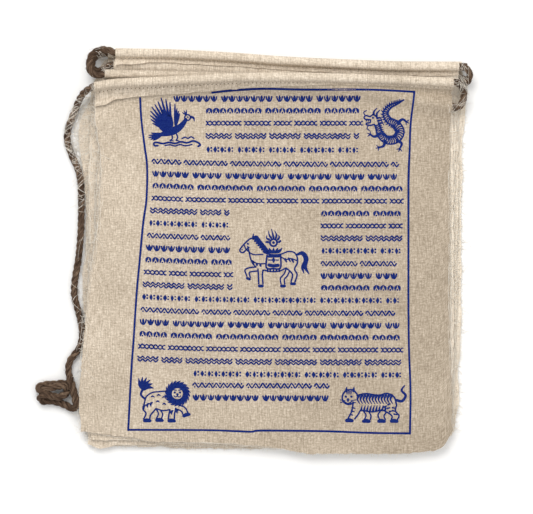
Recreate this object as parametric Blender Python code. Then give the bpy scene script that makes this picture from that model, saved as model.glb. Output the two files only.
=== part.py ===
"""A string of five cotton prayer flags, folded flag on flag into a stack on its own cord.

Lengths are in millimetres and become metres when a mesh is made. +X runs to the right of the
print, +Y towards the sewn casings and +Z up from the table. The origin is on the table, under
the middle of the stack.

Each flag is one piece of cloth. Its top edge is turned over the cord and sewn down, which makes
a casing and leaves a narrow hem flap. The cord runs through all five casings in turn, loops
from each flag to the next, and ends in a knotted tie at the left.
"""

import math

import bpy
import numpy as np
from mathutils import Vector

MM = 0.001

# Driving sizes
CLOTH = 1.0
LAYER_GAP = 0.4
FOLD_GAP = 0.3
CORD = 4.0
CORD_SLACK = 0.35
SEAM = 4.3
FLAGS_IN_STACK = 5

# The sizes of a casing, measured to the middle of its cloth
CASING = CORD / 2 + CORD_SLACK + CLOTH / 2
CASING_OUTER = CASING + CLOTH / 2
FOLD = CLOTH + FOLD_GAP
LAYER = CLOTH + LAYER_GAP
DRAPE_SLOPE = 1.1
DRAPE_SIDEWAYS = 0.5
HEM_GAP = 0.85
FLAP_LIFT = FOLD + 0.15
FLAP_CLEARANCE = 1.5
SHORTEST_FLAP = 1.0
EDGE_CLEARANCE = 3.0

# How the cloth comes off the round of a casing to its seam, and off the seam to the stack
ROUND_REACH = 0.8 * CASING
SEAM_SIDE = SEAM - 1.0
SEAM_SLOPE = 1.65
SEAM_LIP = 0.5
LEAVING_REACH = 25.0
BEND = 0.8

# The loose swell of the stack, the two soft valleys across it, and where it fades to its edges
CREST = 1.2
VALLEY_DEPTH = 0.8
UPPER_VALLEY_Y = 49.0
UPPER_VALLEY_SLANT = 0.03
UPPER_VALLEY_WIDTH = 9.0
LOWER_VALLEY_Y = -29.0
LOWER_VALLEY_WIDTH = 10.0
HEM_END, HEM_FADE = 92.0, 30.0
LOWER_END, LOWER_FADE = -122.0, 40.0
SIDE_END, SIDE_FADE = 118.0, 30.0

# The middle line of each casing and of the cord in it, from left to right: x, y, z
CASING_LINES = {
    "flag_1": [(-109.5, 102, 13.2), (-100, 104, 15.0), (-83.5, 104.5, 16.2), (-60, 105.5, 17.6),
               (-19.5, 107.5, 19.3), (17.5, 107.5, 19.0), (48.5, 107, 17.2), (79.5, 106, 14.8),
               (112.5, 104.5, 13.8)],
    "flag_2": [(-103, 110, 11.3), (-83.5, 109.5, 11.3), (-56.5, 109, 11.4), (-13.5, 107.5, 12.2),
               (17.5, 105, 11.9), (55, 101, 10.1), (86, 95, 8.9), (112, 90, 8.6)],
    "flag_3": [(-96.5, 123, 10.9), (-63, 122.5, 10.9), (-25.5, 120.5, 11.0), (5.5, 118, 11.3),
               (45, 116, 11.4), (75.5, 114.5, 11.5), (116, 114.5, 11.4)],
    "flag_4": [(-98, 115.6, 4.7), (-63, 115.2, 4.7), (-25.5, 113.3, 4.7), (5.5, 111.1, 4.7),
               (45, 109.4, 4.7), (75.5, 108.1, 4.7), (115, 107.9, 4.7)],
    "flag_5": [(-101.5, 123, 3.35), (-63, 122.5, 3.35), (-25.5, 120.6, 3.35), (5.5, 118.4, 3.35),
               (45, 116.7, 3.35), (75.5, 115.4, 3.35), (118, 115.2, 3.35)],
}

# The left edge of each flag from its casing down: y, x
LEFT_EDGES = {
    "flag_1": [(102, -109.5), (91.5, -109.5), (74, -109), (64, -105.5), (32, -106.5), (11, -108),
               (-1.5, -110.5), (-26.5, -114), (-50, -116), (-81.5, -119), (-95, -119.5), (-111.5, -118)],
    "flag_2": [(110, -103), (83.5, -107), (0, -109), (-60, -113), (-118, -112)],
    "flag_3": [(123, -96.5), (110, -99), (95, -104), (60, -108), (-20, -110), (-118, -114)],
    "flag_4": [(115.6, -98), (83.5, -113), (50, -113.5), (-53, -113.5), (-118, -113)],
    "flag_5": [(123, -101.5), (104, -112), (92, -117.5), (83.5, -120.5), (72, -120.5), (61, -119),
               (53.5, -117.5), (32, -115.5), (1, -115.5), (-14.5, -117.5), (-30, -118), (-47.5, -114),
               (-118, -113.5)],
}

# The right edge of each flag from its casing down: y, x
RIGHT_EDGES = {
    "flag_1": [(104.5, 112.5), (79, 110.5), (-48.5, 110.5), (-82, 111.5), (-111, 112)],
    "flag_2": [(90, 112), (60, 113), (-60, 113), (-115, 111)],
    "flag_3": [(114.5, 116), (90, 114.5), (0, 113.5), (-116, 112)],
    "flag_4": [(107.9, 115), (90, 116), (0, 115.5), (-112, 113.5)],
    "flag_5": [(115.2, 118), (104, 120.5), (83.5, 120.5), (63, 118), (50.5, 119), (32.5, 118),
               (-57.5, 118), (-73.5, 116), (-94.5, 117), (-112, 113)],
}

# The lower edge of each flag from left to right: x, y
LOWER_EDGES = {
    "flag_1": [(-118, -111.5), (-103.5, -113.5), (-81.5, -116), (-76.5, -118), (-50.5, -118.5),
               (-25, -119.5), (5.5, -122), (22, -125.5), (82, -125.5), (101, -123.5), (106, -122),
               (109, -118.5), (112, -111)],
    "flag_2": [(-112, -117), (0, -118), (90, -121), (111, -113)],
    "flag_3": [(-114, -119.5), (-106, -123.5), (-98, -120), (0, -121), (90, -121), (112, -114)],
    "flag_4": [(-113, -118), (-100, -121), (-75, -121.2), (-25, -120), (60, -122), (113.5, -112)],
    "flag_5": [(-113.5, -117), (-80, -119), (-60, -122.4), (-25, -122.4), (20, -123), (90, -123),
               (113, -112)],
}

# How far the hem flap reaches below the casing's middle line: x, reach
FLAP_REACH = {
    "flag_1": [(-109.5, 12.5), (-103, 12), (-94.5, 9.5), (-73, 8.1), (-42.5, 8), (5, 6.2), (40, 5.4)],
    "flag_2": [(0, 5.8)],
    "flag_3": [(-96.5, 7.4), (-81.5, 6.8), (-74, 5.6)],
    "flag_4": [(0, 5.8)],
    "flag_5": [(0, SEAM + 0.1)],
}

# In a string folded to and fro every other flag lies face down, with its hem flap beneath
FACE_DOWN = ("flag_2", "flag_4")

# The mesh of each flag: the width of a strip, the rows of cloth from its seam to the line where
# the stack is flat, as shares of the way, and the rows below that line
STRIP = 10.5
HEM_FOOT = 76
HEM_ROWS = {
    "flag_1": (0.05, 0.11, 0.18, 0.26, 0.35, 0.45, 0.56, 0.68, 0.82, 1),
    "flag_2": (0.05, 0.11, 0.18, 0.26, 0.35, 0.45, 0.56, 0.68, 0.82, 1),
    "flag_3": (0.03, 0.08, 0.14, 0.2, 0.27, 0.35, 0.45, 0.58, 0.75, 1),
    "flag_4": (0.03, 0.08, 0.13, 0.19, 0.26, 0.36, 1),
    "flag_5": (0.3, 1),
}
FLAT_ROWS = (62, 49, 36, 4, -15, -29, -43, -75, -100)
RING_STEPS = 8
MITRE_LIMIT = 1.3
SMOOTH_ANGLE = math.radians(50)

# Where the cord leaves one casing for the next, and the tie: x, y, z from casing to casing
LOOP_5_TO_4 = [(-105.5, 122.6, 3.4), (-110, 120.2, 3.5), (-111.6, 115.6, 3.9), (-109, 112.2, 4.3),
               (-104.6, 112.9, 4.6), (-101, 115, 4.7)]
LOOP_4_TO_3 = [(118, 107.6, 5), (121, 105, 6), (122.8, 108.5, 7.8), (121.5, 112.5, 9.6)]
LOOP_3_TO_2 = [(-99.5, 124.2, 10.8), (-104.5, 125, 10.5), (-110.5, 122.5, 10.1), (-112.8, 117, 10),
               (-112, 111.5, 10.2), (-107.5, 109, 10.5)]
LOOP_2_TO_1 = [(114.8, 88.8, 7.9), (117.8, 91.5, 8.4), (119, 96.5, 9.8), (118, 101.5, 11.8),
               (115.6, 104, 13)]
TIE = [(-112.5, 100.8, 11.6), (-117, 97.5, 8.6), (-120, 92.6, 4.9), (-122, 88, 2.8),
       (-124.2, 82.5, 2.05), (-126.2, 76.5, 2.05), (-127, 70.5, 2.05), (-125.8, 65, 2.05), (-123.8, 59, 2.05),
       (-121.2, 53.5, 2.05), (-119.2, 47.5, 2.05), (-118.4, 40, 2.05), (-118.2, 32, 2.05),
       (-118.3, 20, 2.05), (-118.8, 8, 2.05), (-120, -4.5, 2.05), (-121.6, -14, 2.05),
       (-122.6, -22.5, 2.05), (-122, -30, 2.05), (-119.8, -38, 2.05), (-118, -46, 2.05),
       (-117.6, -52.5, 2.05), (-119, -59, 2.05), (-122, -63.5, 2.05), (-125, -67.5, 2.05),
       (-126.2, -73, 2.1), (-125.6, -77.5, 2.7)]
TIE_END = (-125.2, -82, 3.6)
CORD_END = (121.5, 115.2, 3.35)
LOOP_STEP = 8.0

# The knotted end of the tie, as rounded lumps of doubled cord: centre, half sizes, turn
KNOT_LUMPS = [
    {"at": (-140.5, -85.5, 4.3), "half": (6.2, 5.0, 4.2), "turn": 8},
    {"at": (-138.0, -92.0, 4.0), "half": (5.8, 4.6, 3.9), "turn": 12},
    {"at": (-130.5, -84.6, 4.4), "half": (9.5, 5.2, 4.3), "turn": 8},
    {"at": (-129.8, -92.8, 4.2), "half": (9.5, 4.6, 4.1), "turn": -20},
    {"at": (-124.2, -88.8, 4.6), "half": (3.6, 9.6, 4.5), "turn": -8},
]
KNOT_SEGMENTS = 12
KNOT_RINGS = 7
KNOT_GAP = 0.3
CORD_ROUNDING = 2

# The grid on which the cloth's height is worked out
GRID_X = np.arange(-126.0, 126.5, 3.0)
GRID_Y = np.arange(-130.0, 130.5, 1.0)


def along(table, value):
    """The table's second column at a value of its first, whichever way the table runs."""
    rows = sorted(table)
    return np.interp(value, [row[0] for row in rows], [row[1] for row in rows])


def casing_line(name, x):
    """The y and z of a casing's middle line at x."""
    xs, ys, zs = zip(*CASING_LINES[name])
    return np.interp(x, xs, ys), np.interp(x, xs, zs)


def crest(x, y):
    """The loose swell of the stack between its two soft valleys, from 0 to CREST."""
    off_upper = (y - UPPER_VALLEY_Y - UPPER_VALLEY_SLANT * x) / UPPER_VALLEY_WIDTH
    off_lower = (y - LOWER_VALLEY_Y) / LOWER_VALLEY_WIDTH
    valleys = VALLEY_DEPTH * np.exp(-(off_upper**2)) + VALLEY_DEPTH * np.exp(-(off_lower**2))
    hem_side = np.clip((HEM_END - y) / HEM_FADE, 0, 1)
    lower_side = np.clip((y - LOWER_END) / LOWER_FADE, 0, 1)
    sides = np.clip((SIDE_END - np.abs(x)) / SIDE_FADE, 0, 1)
    return CREST * hem_side * lower_side * sides * (1 - valleys)


def casing_top(below):
    """Height of a casing's outside over its middle line, at a distance below that line."""
    round_part = np.sqrt(np.clip(CASING_OUTER**2 - below**2, 0, None))
    round_part = np.where(np.abs(below) <= CASING_OUTER, round_part, -np.inf)
    seam_part = FOLD - CASING + CLOTH / 2 + SEAM_SLOPE * (SEAM - below)
    seam_part = np.where((below > ROUND_REACH) & (below <= SEAM + SEAM_LIP), seam_part, -np.inf)
    return np.maximum(round_part, seam_part)


def drape(need):
    """The lowest cloth that clears every height in need and is nowhere steeper than the slope."""
    cloth = need.copy()
    step_y = DRAPE_SLOPE * (GRID_Y[1] - GRID_Y[0])
    step_x = DRAPE_SIDEWAYS * DRAPE_SLOPE * (GRID_X[1] - GRID_X[0])
    for j in range(1, len(GRID_Y)):
        cloth[:, j] = np.maximum(cloth[:, j], cloth[:, j - 1] - step_y)
    for j in range(len(GRID_Y) - 2, -1, -1):
        cloth[:, j] = np.maximum(cloth[:, j], cloth[:, j + 1] - step_y)
    for i in range(1, len(GRID_X)):
        cloth[i] = np.maximum(cloth[i], cloth[i - 1] - step_x)
    for i in range(len(GRID_X) - 2, -1, -1):
        cloth[i] = np.maximum(cloth[i], cloth[i + 1] - step_x)
    return cloth


def settle_flags():
    """Lays the flags on each other from the table up, and keeps the height of each one's cloth."""
    x = GRID_X[:, None]
    y = GRID_Y[None, :]
    heap = np.zeros((len(GRID_X), len(GRID_Y)))
    heights = {}
    for level in range(FLAGS_IN_STACK):
        name = f"flag_{FLAGS_IN_STACK - level}"
        line_y, line_z = casing_line(name, x)
        below = line_y - y
        reach = along(FLAP_REACH[name], x)
        on_hem = (below >= 0) & (below <= reach + FLAP_CLEARANCE)
        flat = level * LAYER + CLOTH / 2 + crest(x, y) * level / (FLAGS_IN_STACK - 1)
        gap = np.where(y > HEM_FOOT, HEM_GAP, LAYER_GAP) if level else 0.0
        need = heap + gap + CLOTH / 2
        if name in FACE_DOWN:
            need = need + np.where(on_hem, FLAP_LIFT, 0.0)
        cloth = drape(np.maximum(np.where(below > -CASING, need, 0.0), flat))
        heights[name] = cloth
        at_left = along(LEFT_EDGES[name], y) - EDGE_CLEARANCE
        at_right = along(RIGHT_EDGES[name], y) + EDGE_CLEARANCE
        inside = (x > at_left) & (x < at_right)
        top = cloth + CLOTH / 2
        if name not in FACE_DOWN:
            top = top + np.where(on_hem, FLAP_LIFT, 0.0)
        heap = np.where(inside & (below > SEAM_SIDE), np.maximum(heap, top), heap)
        over_casing = line_z + casing_top(below)
        leaving = line_z - CASING + CLOTH / 2 + FOLD - DRAPE_SLOPE * (below - SEAM)
        over_casing = np.where((below > SEAM) & (below < LEAVING_REACH), leaving, over_casing)
        heap = np.where(inside, np.maximum(heap, over_casing), heap)
    return heights


def height_at(cloth, x, y):
    """The cloth's height at a point, read from the grid."""
    i = np.clip((x - GRID_X[0]) / (GRID_X[1] - GRID_X[0]), 0, len(GRID_X) - 1.001)
    j = np.clip((y - GRID_Y[0]) / (GRID_Y[1] - GRID_Y[0]), 0, len(GRID_Y) - 1.001)
    i0, j0 = int(i), int(j)
    s, t = i - i0, j - j0
    low = cloth[i0, j0] * (1 - t) + cloth[i0, j0 + 1] * t
    high = cloth[i0 + 1, j0] * (1 - t) + cloth[i0 + 1, j0 + 1] * t
    return low * (1 - s) + high * s


def section(name, cloth, share):
    """The middle of a flag's cloth from its hem flap's edge, round the cord, to its lower edge."""
    left, right = LEFT_EDGES[name], RIGHT_EDGES[name]
    x = left[0][1] + share * (right[0][1] - left[0][1])
    line_y, line_z = (float(v) for v in casing_line(name, x))
    face_down = name in FACE_DOWN
    under, over = line_z - CASING, line_z - CASING + FOLD
    body_start = over if face_down else under
    reach = float(along(FLAP_REACH[name], x))

    def body_height(at_x, below):
        near = [height_at(cloth, at_x, line_y - below + side) for side in (-BEND, 0, BEND)]
        return max(*near, body_start - DRAPE_SLOPE * (below - SEAM))

    lift = -FLAP_LIFT if face_down else FLAP_LIFT
    flap = []
    for part in (1.0, 0.5):
        below = SEAM + part * (reach - SEAM)
        flap.append((x, line_y - below, body_height(x, below) + lift))
    if reach - SEAM < SHORTEST_FLAP:
        flap = []

    seam_reach = math.hypot(SEAM, FOLD - CASING)
    start = math.atan2(FOLD - CASING, SEAM) + math.acos(CASING / seam_reach)
    ring = []
    for step in range(RING_STEPS + 1):
        angle = start + step * (1.5 * math.pi - start) / RING_STEPS
        ring.append((x, line_y - CASING * math.cos(angle), line_z + CASING * math.sin(angle)))
    seam_over = (x, line_y - SEAM, over)
    seam_under = (x, line_y - SEAM, under)
    if face_down:
        hem = flap + [seam_under] + ring[::-1] + [seam_over]
    else:
        hem = flap + [seam_over] + ring + [seam_under]

    foot_x = left[-1][1] + share * (right[-1][1] - left[-1][1])
    seam_y = line_y - SEAM
    rows = [seam_y + part * (HEM_FOOT - seam_y) for part in HEM_ROWS[name]]
    rows += [*FLAT_ROWS, float(along(LOWER_EDGES[name], foot_x))]
    body = []
    for y in rows:
        at_left, at_right = float(along(left, y)), float(along(right, y))
        at_x = at_left + share * (at_right - at_left)
        body.append((at_x, y, body_height(at_x, line_y - y)))
    return hem + body


def strip_shares(name):
    """Where a flag's strips meet, as shares of its width: at each bend of its casing and between."""
    xs = [point[0] for point in CASING_LINES[name]]
    shares = []
    for start, end in zip(xs, xs[1:]):
        strips = max(1, round((end - start) / STRIP))
        shares += [(start + strip * (end - start) / strips - xs[0]) / (xs[-1] - xs[0])
                   for strip in range(strips)]
    return shares + [1.0]


def thicken(line):
    """Both faces of the cloth along a section's middle line, half a thickness to each side."""
    points = np.array(line)
    steps = np.diff(points[:, 1:], axis=0)
    steps /= np.linalg.norm(steps, axis=1)[:, None]
    before = np.vstack([steps[:1], steps])
    after = np.vstack([steps, steps[-1:]])
    middle = before + after
    middle /= np.linalg.norm(middle, axis=1)[:, None]
    mitre = np.clip(1 / np.einsum("ij,ij->i", middle, before), 1, MITRE_LIMIT)
    normals = np.stack([-middle[:, 1], middle[:, 0]], axis=1) * mitre[:, None]
    inner, outer = points.copy(), points.copy()
    inner[:, 1:] -= normals * CLOTH / 2
    outer[:, 1:] += normals * CLOTH / 2
    return inner, outer


def cloth_material(name, colour):
    material = bpy.data.materials.new(name)
    material.use_nodes = True
    shader = material.node_tree.nodes["Principled BSDF"]
    shader.inputs["Base Color"].default_value = (*colour, 1.0)
    shader.inputs["Roughness"].default_value = 0.9
    shader.inputs["Metallic"].default_value = 0.0
    return material


def make_object(name, vertices, faces, colour, parent):
    """A closed body from its corners in millimetres, with its faces turned outwards."""
    mesh = bpy.data.meshes.new(name)
    mesh.from_pydata([(x * MM, y * MM, z * MM) for x, y, z in vertices], [], faces)
    mesh.update()
    obj = bpy.data.objects.new(name, mesh)
    obj.parent = parent
    bpy.context.scene.collection.objects.link(obj)
    mesh.materials.append(cloth_material(name, colour))
    return obj


def make_flag(name, cloth, colour, parent):
    """One flag: its sections side by side, joined into a single closed sheet."""
    shares = strip_shares(name)
    vertices = []
    for share in shares:
        for face in thicken(section(name, cloth, share)):
            vertices.extend(tuple(point) for point in face.tolist())
    count = len(vertices) // len(shares) // 2
    ring = list(range(count)) + list(range(2 * count - 1, count - 1, -1))
    faces = []
    for strip in range(len(shares) - 1):
        here = 2 * count * strip
        there = here + 2 * count
        for k, corner in enumerate(ring):
            following = ring[(k + 1) % len(ring)]
            faces.append((here + corner, here + following, there + following, there + corner))
    last = 2 * count * (len(shares) - 1)
    for k in range(count - 1):
        faces.append((k, count + k, count + k + 1, k + 1))
        faces.append((last + k, last + k + 1, last + count + k + 1, last + count + k))
    flag = make_object(name, vertices, faces, colour, parent)
    flag.data.shade_smooth()
    flag.data.set_sharp_from_angle(angle=SMOOTH_ANGLE)
    return flag


def smooth_points(points, step):
    """Points about one step apart on the smooth curve through the given ones."""
    knots = [np.array(point, float) for point in points]
    sampled = []
    for k in range(1, len(knots) - 2):
        a, b, c, d = knots[k - 1 : k + 3]
        pieces = max(1, round(float(np.linalg.norm(c - b)) / step))
        for piece in range(pieces):
            t = piece / pieces
            sampled.append(
                0.5 * (2 * b + (c - a) * t + (2 * a - 5 * b + 4 * c - d) * t**2
                       + (3 * b - a - 3 * c + d) * t**3)
            )
    return [tuple(point) for point in sampled]


def cord_route():
    """The whole cord, from its hidden end through the casings to the knotted end of the tie."""
    lines = CASING_LINES
    route = [CORD_END]
    route += lines["flag_5"][::-1]
    bends = [
        (LOOP_5_TO_4, lines["flag_4"]),
        (LOOP_4_TO_3, lines["flag_3"][::-1]),
        (LOOP_3_TO_2, lines["flag_2"]),
        (LOOP_2_TO_1, lines["flag_1"][::-1]),
    ]
    for loop, line in bends:
        ends = [route[-2], route[-1], *loop, line[0], line[1]]
        route += smooth_points(ends, LOOP_STEP)[1:]
        route += line
    ends = [route[-2], route[-1], *TIE, TIE_END, TIE_END]
    route += smooth_points(ends, LOOP_STEP)[1:]
    route.append(TIE_END)
    return route


def make_cord(colour, parent):
    curve = bpy.data.curves.new("cord", "CURVE")
    curve.dimensions = "3D"
    curve.bevel_depth = CORD / 2 * MM
    curve.bevel_resolution = CORD_ROUNDING
    curve.use_fill_caps = True
    route = cord_route()
    spline = curve.splines.new("POLY")
    spline.points.add(len(route) - 1)
    for point, (x, y, z) in zip(spline.points, route):
        point.co = (x * MM, y * MM, z * MM, 1.0)
    spline.use_smooth = True
    curve.materials.append(cloth_material("cord", colour))
    obj = bpy.data.objects.new("cord", curve)
    obj.parent = parent
    bpy.context.scene.collection.objects.link(obj)
    return obj


def make_lump(label, lump, parent):
    """One rounded lump of the knot, flattened a little where it lies on the table."""
    bpy.ops.mesh.primitive_uv_sphere_add(segments=KNOT_SEGMENTS, ring_count=KNOT_RINGS, radius=MM)
    obj = bpy.context.object
    obj.name = label
    turn = math.radians(lump["turn"])
    for vertex in obj.data.vertices:
        x, y, z = (vertex.co[i] / MM * lump["half"][i] for i in range(3))
        placed_x = lump["at"][0] + x * math.cos(turn) - y * math.sin(turn)
        placed_y = lump["at"][1] + x * math.sin(turn) + y * math.cos(turn)
        vertex.co = (placed_x * MM, placed_y * MM, (lump["at"][2] + z) * MM)
    obj.parent = parent
    return obj


def join_shape(target, tool, operation):
    """Adds a Boolean that joins or cuts with a helper shape, which stays out of the model."""
    tool.hide_render = True
    tool.display_type = "WIRE"
    modifier = target.modifiers.new(operation.title(), "BOOLEAN")
    modifier.operation = operation
    modifier.solver = "EXACT"
    modifier.object = tool


def make_socket(parent):
    """The space that the cord's end takes up in the knot, with the gap round it."""
    before, end = Vector(TIE[-1]), Vector(TIE_END)
    inwards = (end - before).normalized()
    end = end + inwards * KNOT_GAP
    bpy.ops.mesh.primitive_cylinder_add(
        vertices=KNOT_SEGMENTS, radius=(CORD / 2 + KNOT_GAP) * MM, depth=(end - before).length * MM
    )
    socket = bpy.context.object
    socket.name = "knot_socket"
    socket.location = (before + end) / 2 * MM
    socket.rotation_euler = inwards.to_track_quat("Z", "Y").to_euler()
    socket.parent = parent
    return socket


def make_knot(colour, parent):
    """The knotted end of the tie, joined from its lumps into one body around the cord's end."""
    lumps = [make_lump(f"knot_lump_{k}", lump, parent) for k, lump in enumerate(KNOT_LUMPS)]
    knot = lumps[0]
    knot.name = "tie_knot"
    for lump in lumps[1:]:
        join_shape(knot, lump, "UNION")
    join_shape(knot, make_socket(parent), "DIFFERENCE")
    knot.data.materials.append(cloth_material("tie_knot", colour))
    knot.data.shade_smooth()
    return knot


for old in list(bpy.data.objects):
    bpy.data.objects.remove(old)

stack = bpy.data.objects.new("prayer_flag_string", None)
bpy.context.scene.collection.objects.link(stack)

COTTON = (0.53, 0.45, 0.36)
BROWN_CORD = (0.095, 0.055, 0.034)

cloth_heights = settle_flags()
for flag_name, cloth_height in cloth_heights.items():
    make_flag(flag_name, cloth_height, COTTON, stack)
make_cord(BROWN_CORD, stack)
make_knot(BROWN_CORD, stack)
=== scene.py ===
"""The looks of a string of five cotton prayer flags, folded into a stack on its own brown cord.

Lengths in the tables are millimetres, in the frame of the CAD model: +X runs to the right of the
print, +Y towards the sewn casings and +Z up from the table.
"""

import math
import random

import bpy
import numpy as np
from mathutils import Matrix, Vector, noise
from mathutils.bvhtree import BVHTree


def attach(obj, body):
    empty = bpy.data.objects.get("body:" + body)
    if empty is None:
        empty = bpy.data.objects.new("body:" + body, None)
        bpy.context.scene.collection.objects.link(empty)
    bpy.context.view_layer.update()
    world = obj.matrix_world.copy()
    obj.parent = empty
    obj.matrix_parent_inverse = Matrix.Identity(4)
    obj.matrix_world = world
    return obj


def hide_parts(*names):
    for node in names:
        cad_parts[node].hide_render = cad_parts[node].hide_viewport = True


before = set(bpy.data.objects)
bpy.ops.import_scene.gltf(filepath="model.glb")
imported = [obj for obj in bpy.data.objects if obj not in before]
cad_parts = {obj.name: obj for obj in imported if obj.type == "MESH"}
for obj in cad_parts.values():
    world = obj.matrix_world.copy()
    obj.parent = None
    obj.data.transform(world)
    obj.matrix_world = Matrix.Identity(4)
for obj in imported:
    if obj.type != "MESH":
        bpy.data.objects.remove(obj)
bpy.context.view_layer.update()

# The table and the view. The string lies on a plain pale table and is seen from straight above,
# through a long lens, in soft daylight that comes from the head of the table.
MM = 0.001
PHOTO_WIDTH = 533
PIXEL = 0.62
VIEW_CENTRE = (-3.1, -3.4)
VIEW_LEVEL = 7.0
LENS = 200.0
SENSOR = 36.0
VIEW_DEPTH = 20.0
TABLE_SIDE = 4.0
TABLE_DROP = 0.0004
TABLE_WHITE = (0.93, 0.93, 0.925)
DAYLIGHT = (1.0, 0.985, 0.96)
SKY_STRENGTH = 0.72
LAMPS = [
    {"name": "window", "at": (-0.3, 0.8, 1.15), "size": 0.8, "power": 11.5},
    {"name": "wall", "at": (0.8, -0.35, 1.3), "size": 1.4, "power": 5.0},
]


class Value:
    """A number in a material, which can be used in an expression."""

    def __init__(self, finish, socket):
        self.finish = finish
        self.socket = socket

    def worked_out(self, operation, first, second):
        return self.finish.node("ShaderNodeMath", {"operation": operation}, {0: first, 1: second})

    def __add__(self, other):
        return self.worked_out("ADD", self, other)

    def __radd__(self, other):
        return self.worked_out("ADD", other, self)

    def __sub__(self, other):
        return self.worked_out("SUBTRACT", self, other)

    def __rsub__(self, other):
        return self.worked_out("SUBTRACT", other, self)

    def __mul__(self, other):
        return self.worked_out("MULTIPLY", self, other)

    def __rmul__(self, other):
        return self.worked_out("MULTIPLY", other, self)


class Finish:
    """A material in the making, whose nodes all come from one method."""

    def __init__(self, name, colour, roughness):
        self.material = bpy.data.materials.new(name)
        self.material.use_nodes = True
        self.material.diffuse_color = (*colour, 1.0)
        self.tree = self.material.node_tree
        self.shader = self.tree.nodes["Principled BSDF"]
        self.shader.inputs["Base Color"].default_value = (*colour, 1.0)
        self.shader.inputs["Roughness"].default_value = roughness
        self.shader.inputs["Metallic"].default_value = 0.0
        self.shader.inputs["Specular IOR Level"].default_value = 0.25

    def node(self, kind, settings, values, output=0):
        """A node with its settings made first, then the values or links of its sockets."""
        made = self.tree.nodes.new(kind)
        for name, setting in settings.items():
            if name == "stops":
                while len(made.color_ramp.elements) < len(setting):
                    made.color_ramp.elements.new(0.5)
                for element, (place, colour) in zip(made.color_ramp.elements, setting):
                    element.position = place
                    element.color = (*colour, 1.0)
            else:
                setattr(made, name, setting)
        for name, value in values.items():
            if isinstance(value, Value):
                self.tree.links.new(value.socket, made.inputs[name])
            else:
                made.inputs[name].default_value = value
        return Value(self, made.outputs[output])

    def feed(self, name, value):
        """Links a value to a socket of the finish itself."""
        self.tree.links.new(value.socket, self.shader.inputs[name])

    def place(self, attribute):
        """Where a point lies on its piece, in millimetres, from the piece's own attribute."""
        return self.node("ShaderNodeAttribute", {"attribute_name": attribute}, {}, "Vector")

    def stretched(self, vector, scale):
        return self.node("ShaderNodeMapping", {}, {"Vector": vector, "Scale": scale})

    def part(self, vector, axis):
        return self.node("ShaderNodeSeparateXYZ", {}, {"Vector": vector}, axis)

    def grain(self, vector, scale, detail=2.0, roughness=0.5):
        return self.node("ShaderNodeTexNoise", {"noise_dimensions": "3D"},
                         {"Vector": vector, "Scale": scale, "Detail": detail, "Roughness": roughness})

    def ramp(self, value, stops):
        return self.node("ShaderNodeValToRGB", {"stops": stops}, {"Fac": value})

    def wave(self, value):
        return self.node("ShaderNodeMath", {"operation": "SINE"}, {0: value})

    def relief(self, height, strength, depth):
        """Fine relief of a given depth in millimetres."""
        return self.node("ShaderNodeBump", {},
                         {"Height": height, "Strength": strength, "Distance": depth * MM}, "Normal")


def deselect():
    """Leaves nothing selected, so that an operator acts on its own piece alone."""
    if bpy.context.object and bpy.context.object.mode != "OBJECT":
        bpy.ops.object.mode_set(mode="OBJECT")
    bpy.ops.object.select_all(action="DESELECT")


deselect()
view_width = PHOTO_WIDTH * PIXEL
view_distance = view_width * LENS / SENSOR
bpy.ops.object.camera_add(
    location=(VIEW_CENTRE[0] * MM, VIEW_CENTRE[1] * MM, (view_distance + VIEW_LEVEL) * MM),
    rotation=(0.0, 0.0, 0.0),
)
camera = bpy.context.object
camera.name = "camera"
camera.data.lens = LENS
camera.data.sensor_width = SENSOR
camera.data.clip_end = VIEW_DEPTH
bpy.context.scene.camera = camera

for lamp in LAMPS:
    place = Vector(lamp["at"])
    bpy.ops.object.light_add(type="AREA", location=place, rotation=place.to_track_quat("Z", "Y").to_euler())
    light = bpy.context.object
    light.name = lamp["name"]
    light.data.shape = "SQUARE"
    light.data.size = lamp["size"]
    light.data.energy = lamp["power"]
    light.data.color = DAYLIGHT

sky = bpy.data.worlds.new("sky")
sky.use_nodes = True
sky.node_tree.nodes["Background"].inputs["Color"].default_value = (1.0, 1.0, 1.0, 1.0)
sky.node_tree.nodes["Background"].inputs["Strength"].default_value = SKY_STRENGTH
bpy.context.scene.world = sky
bpy.context.scene.view_settings.view_transform = "Standard"

deselect()
bpy.ops.mesh.primitive_plane_add(size=TABLE_SIDE, location=(0.0, 0.0, -TABLE_DROP))
table = bpy.context.object
table.name = "table"
table.data.materials.append(Finish("table_white", TABLE_WHITE, 0.6).material)

# The cord: three strands of brown jute twisted together, 4 mm thick. It runs through the casings
# of the five flags in turn, loops from each to the next, and hangs out at the left as the tie.
STRAND = 1.1
STRAND_OFFSET = 1.14
LAY = 13.0
CORD_STEP = 1.1
FINE_STEP = 0.5
STRANDS = 3
STRAND_SIDES = 8
STRAND_WANDER = 0.06
STRAND_SWELL = 0.08
STRAND_TIP = (0.6, 0.9)
CASING_POINTS = 25
JUTE_DARK = (0.02, 0.01, 0.005)
JUTE = (0.085, 0.05, 0.032)
JUTE_LIGHT = (0.3, 0.21, 0.14)
CORD_REST = 2.4

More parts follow.
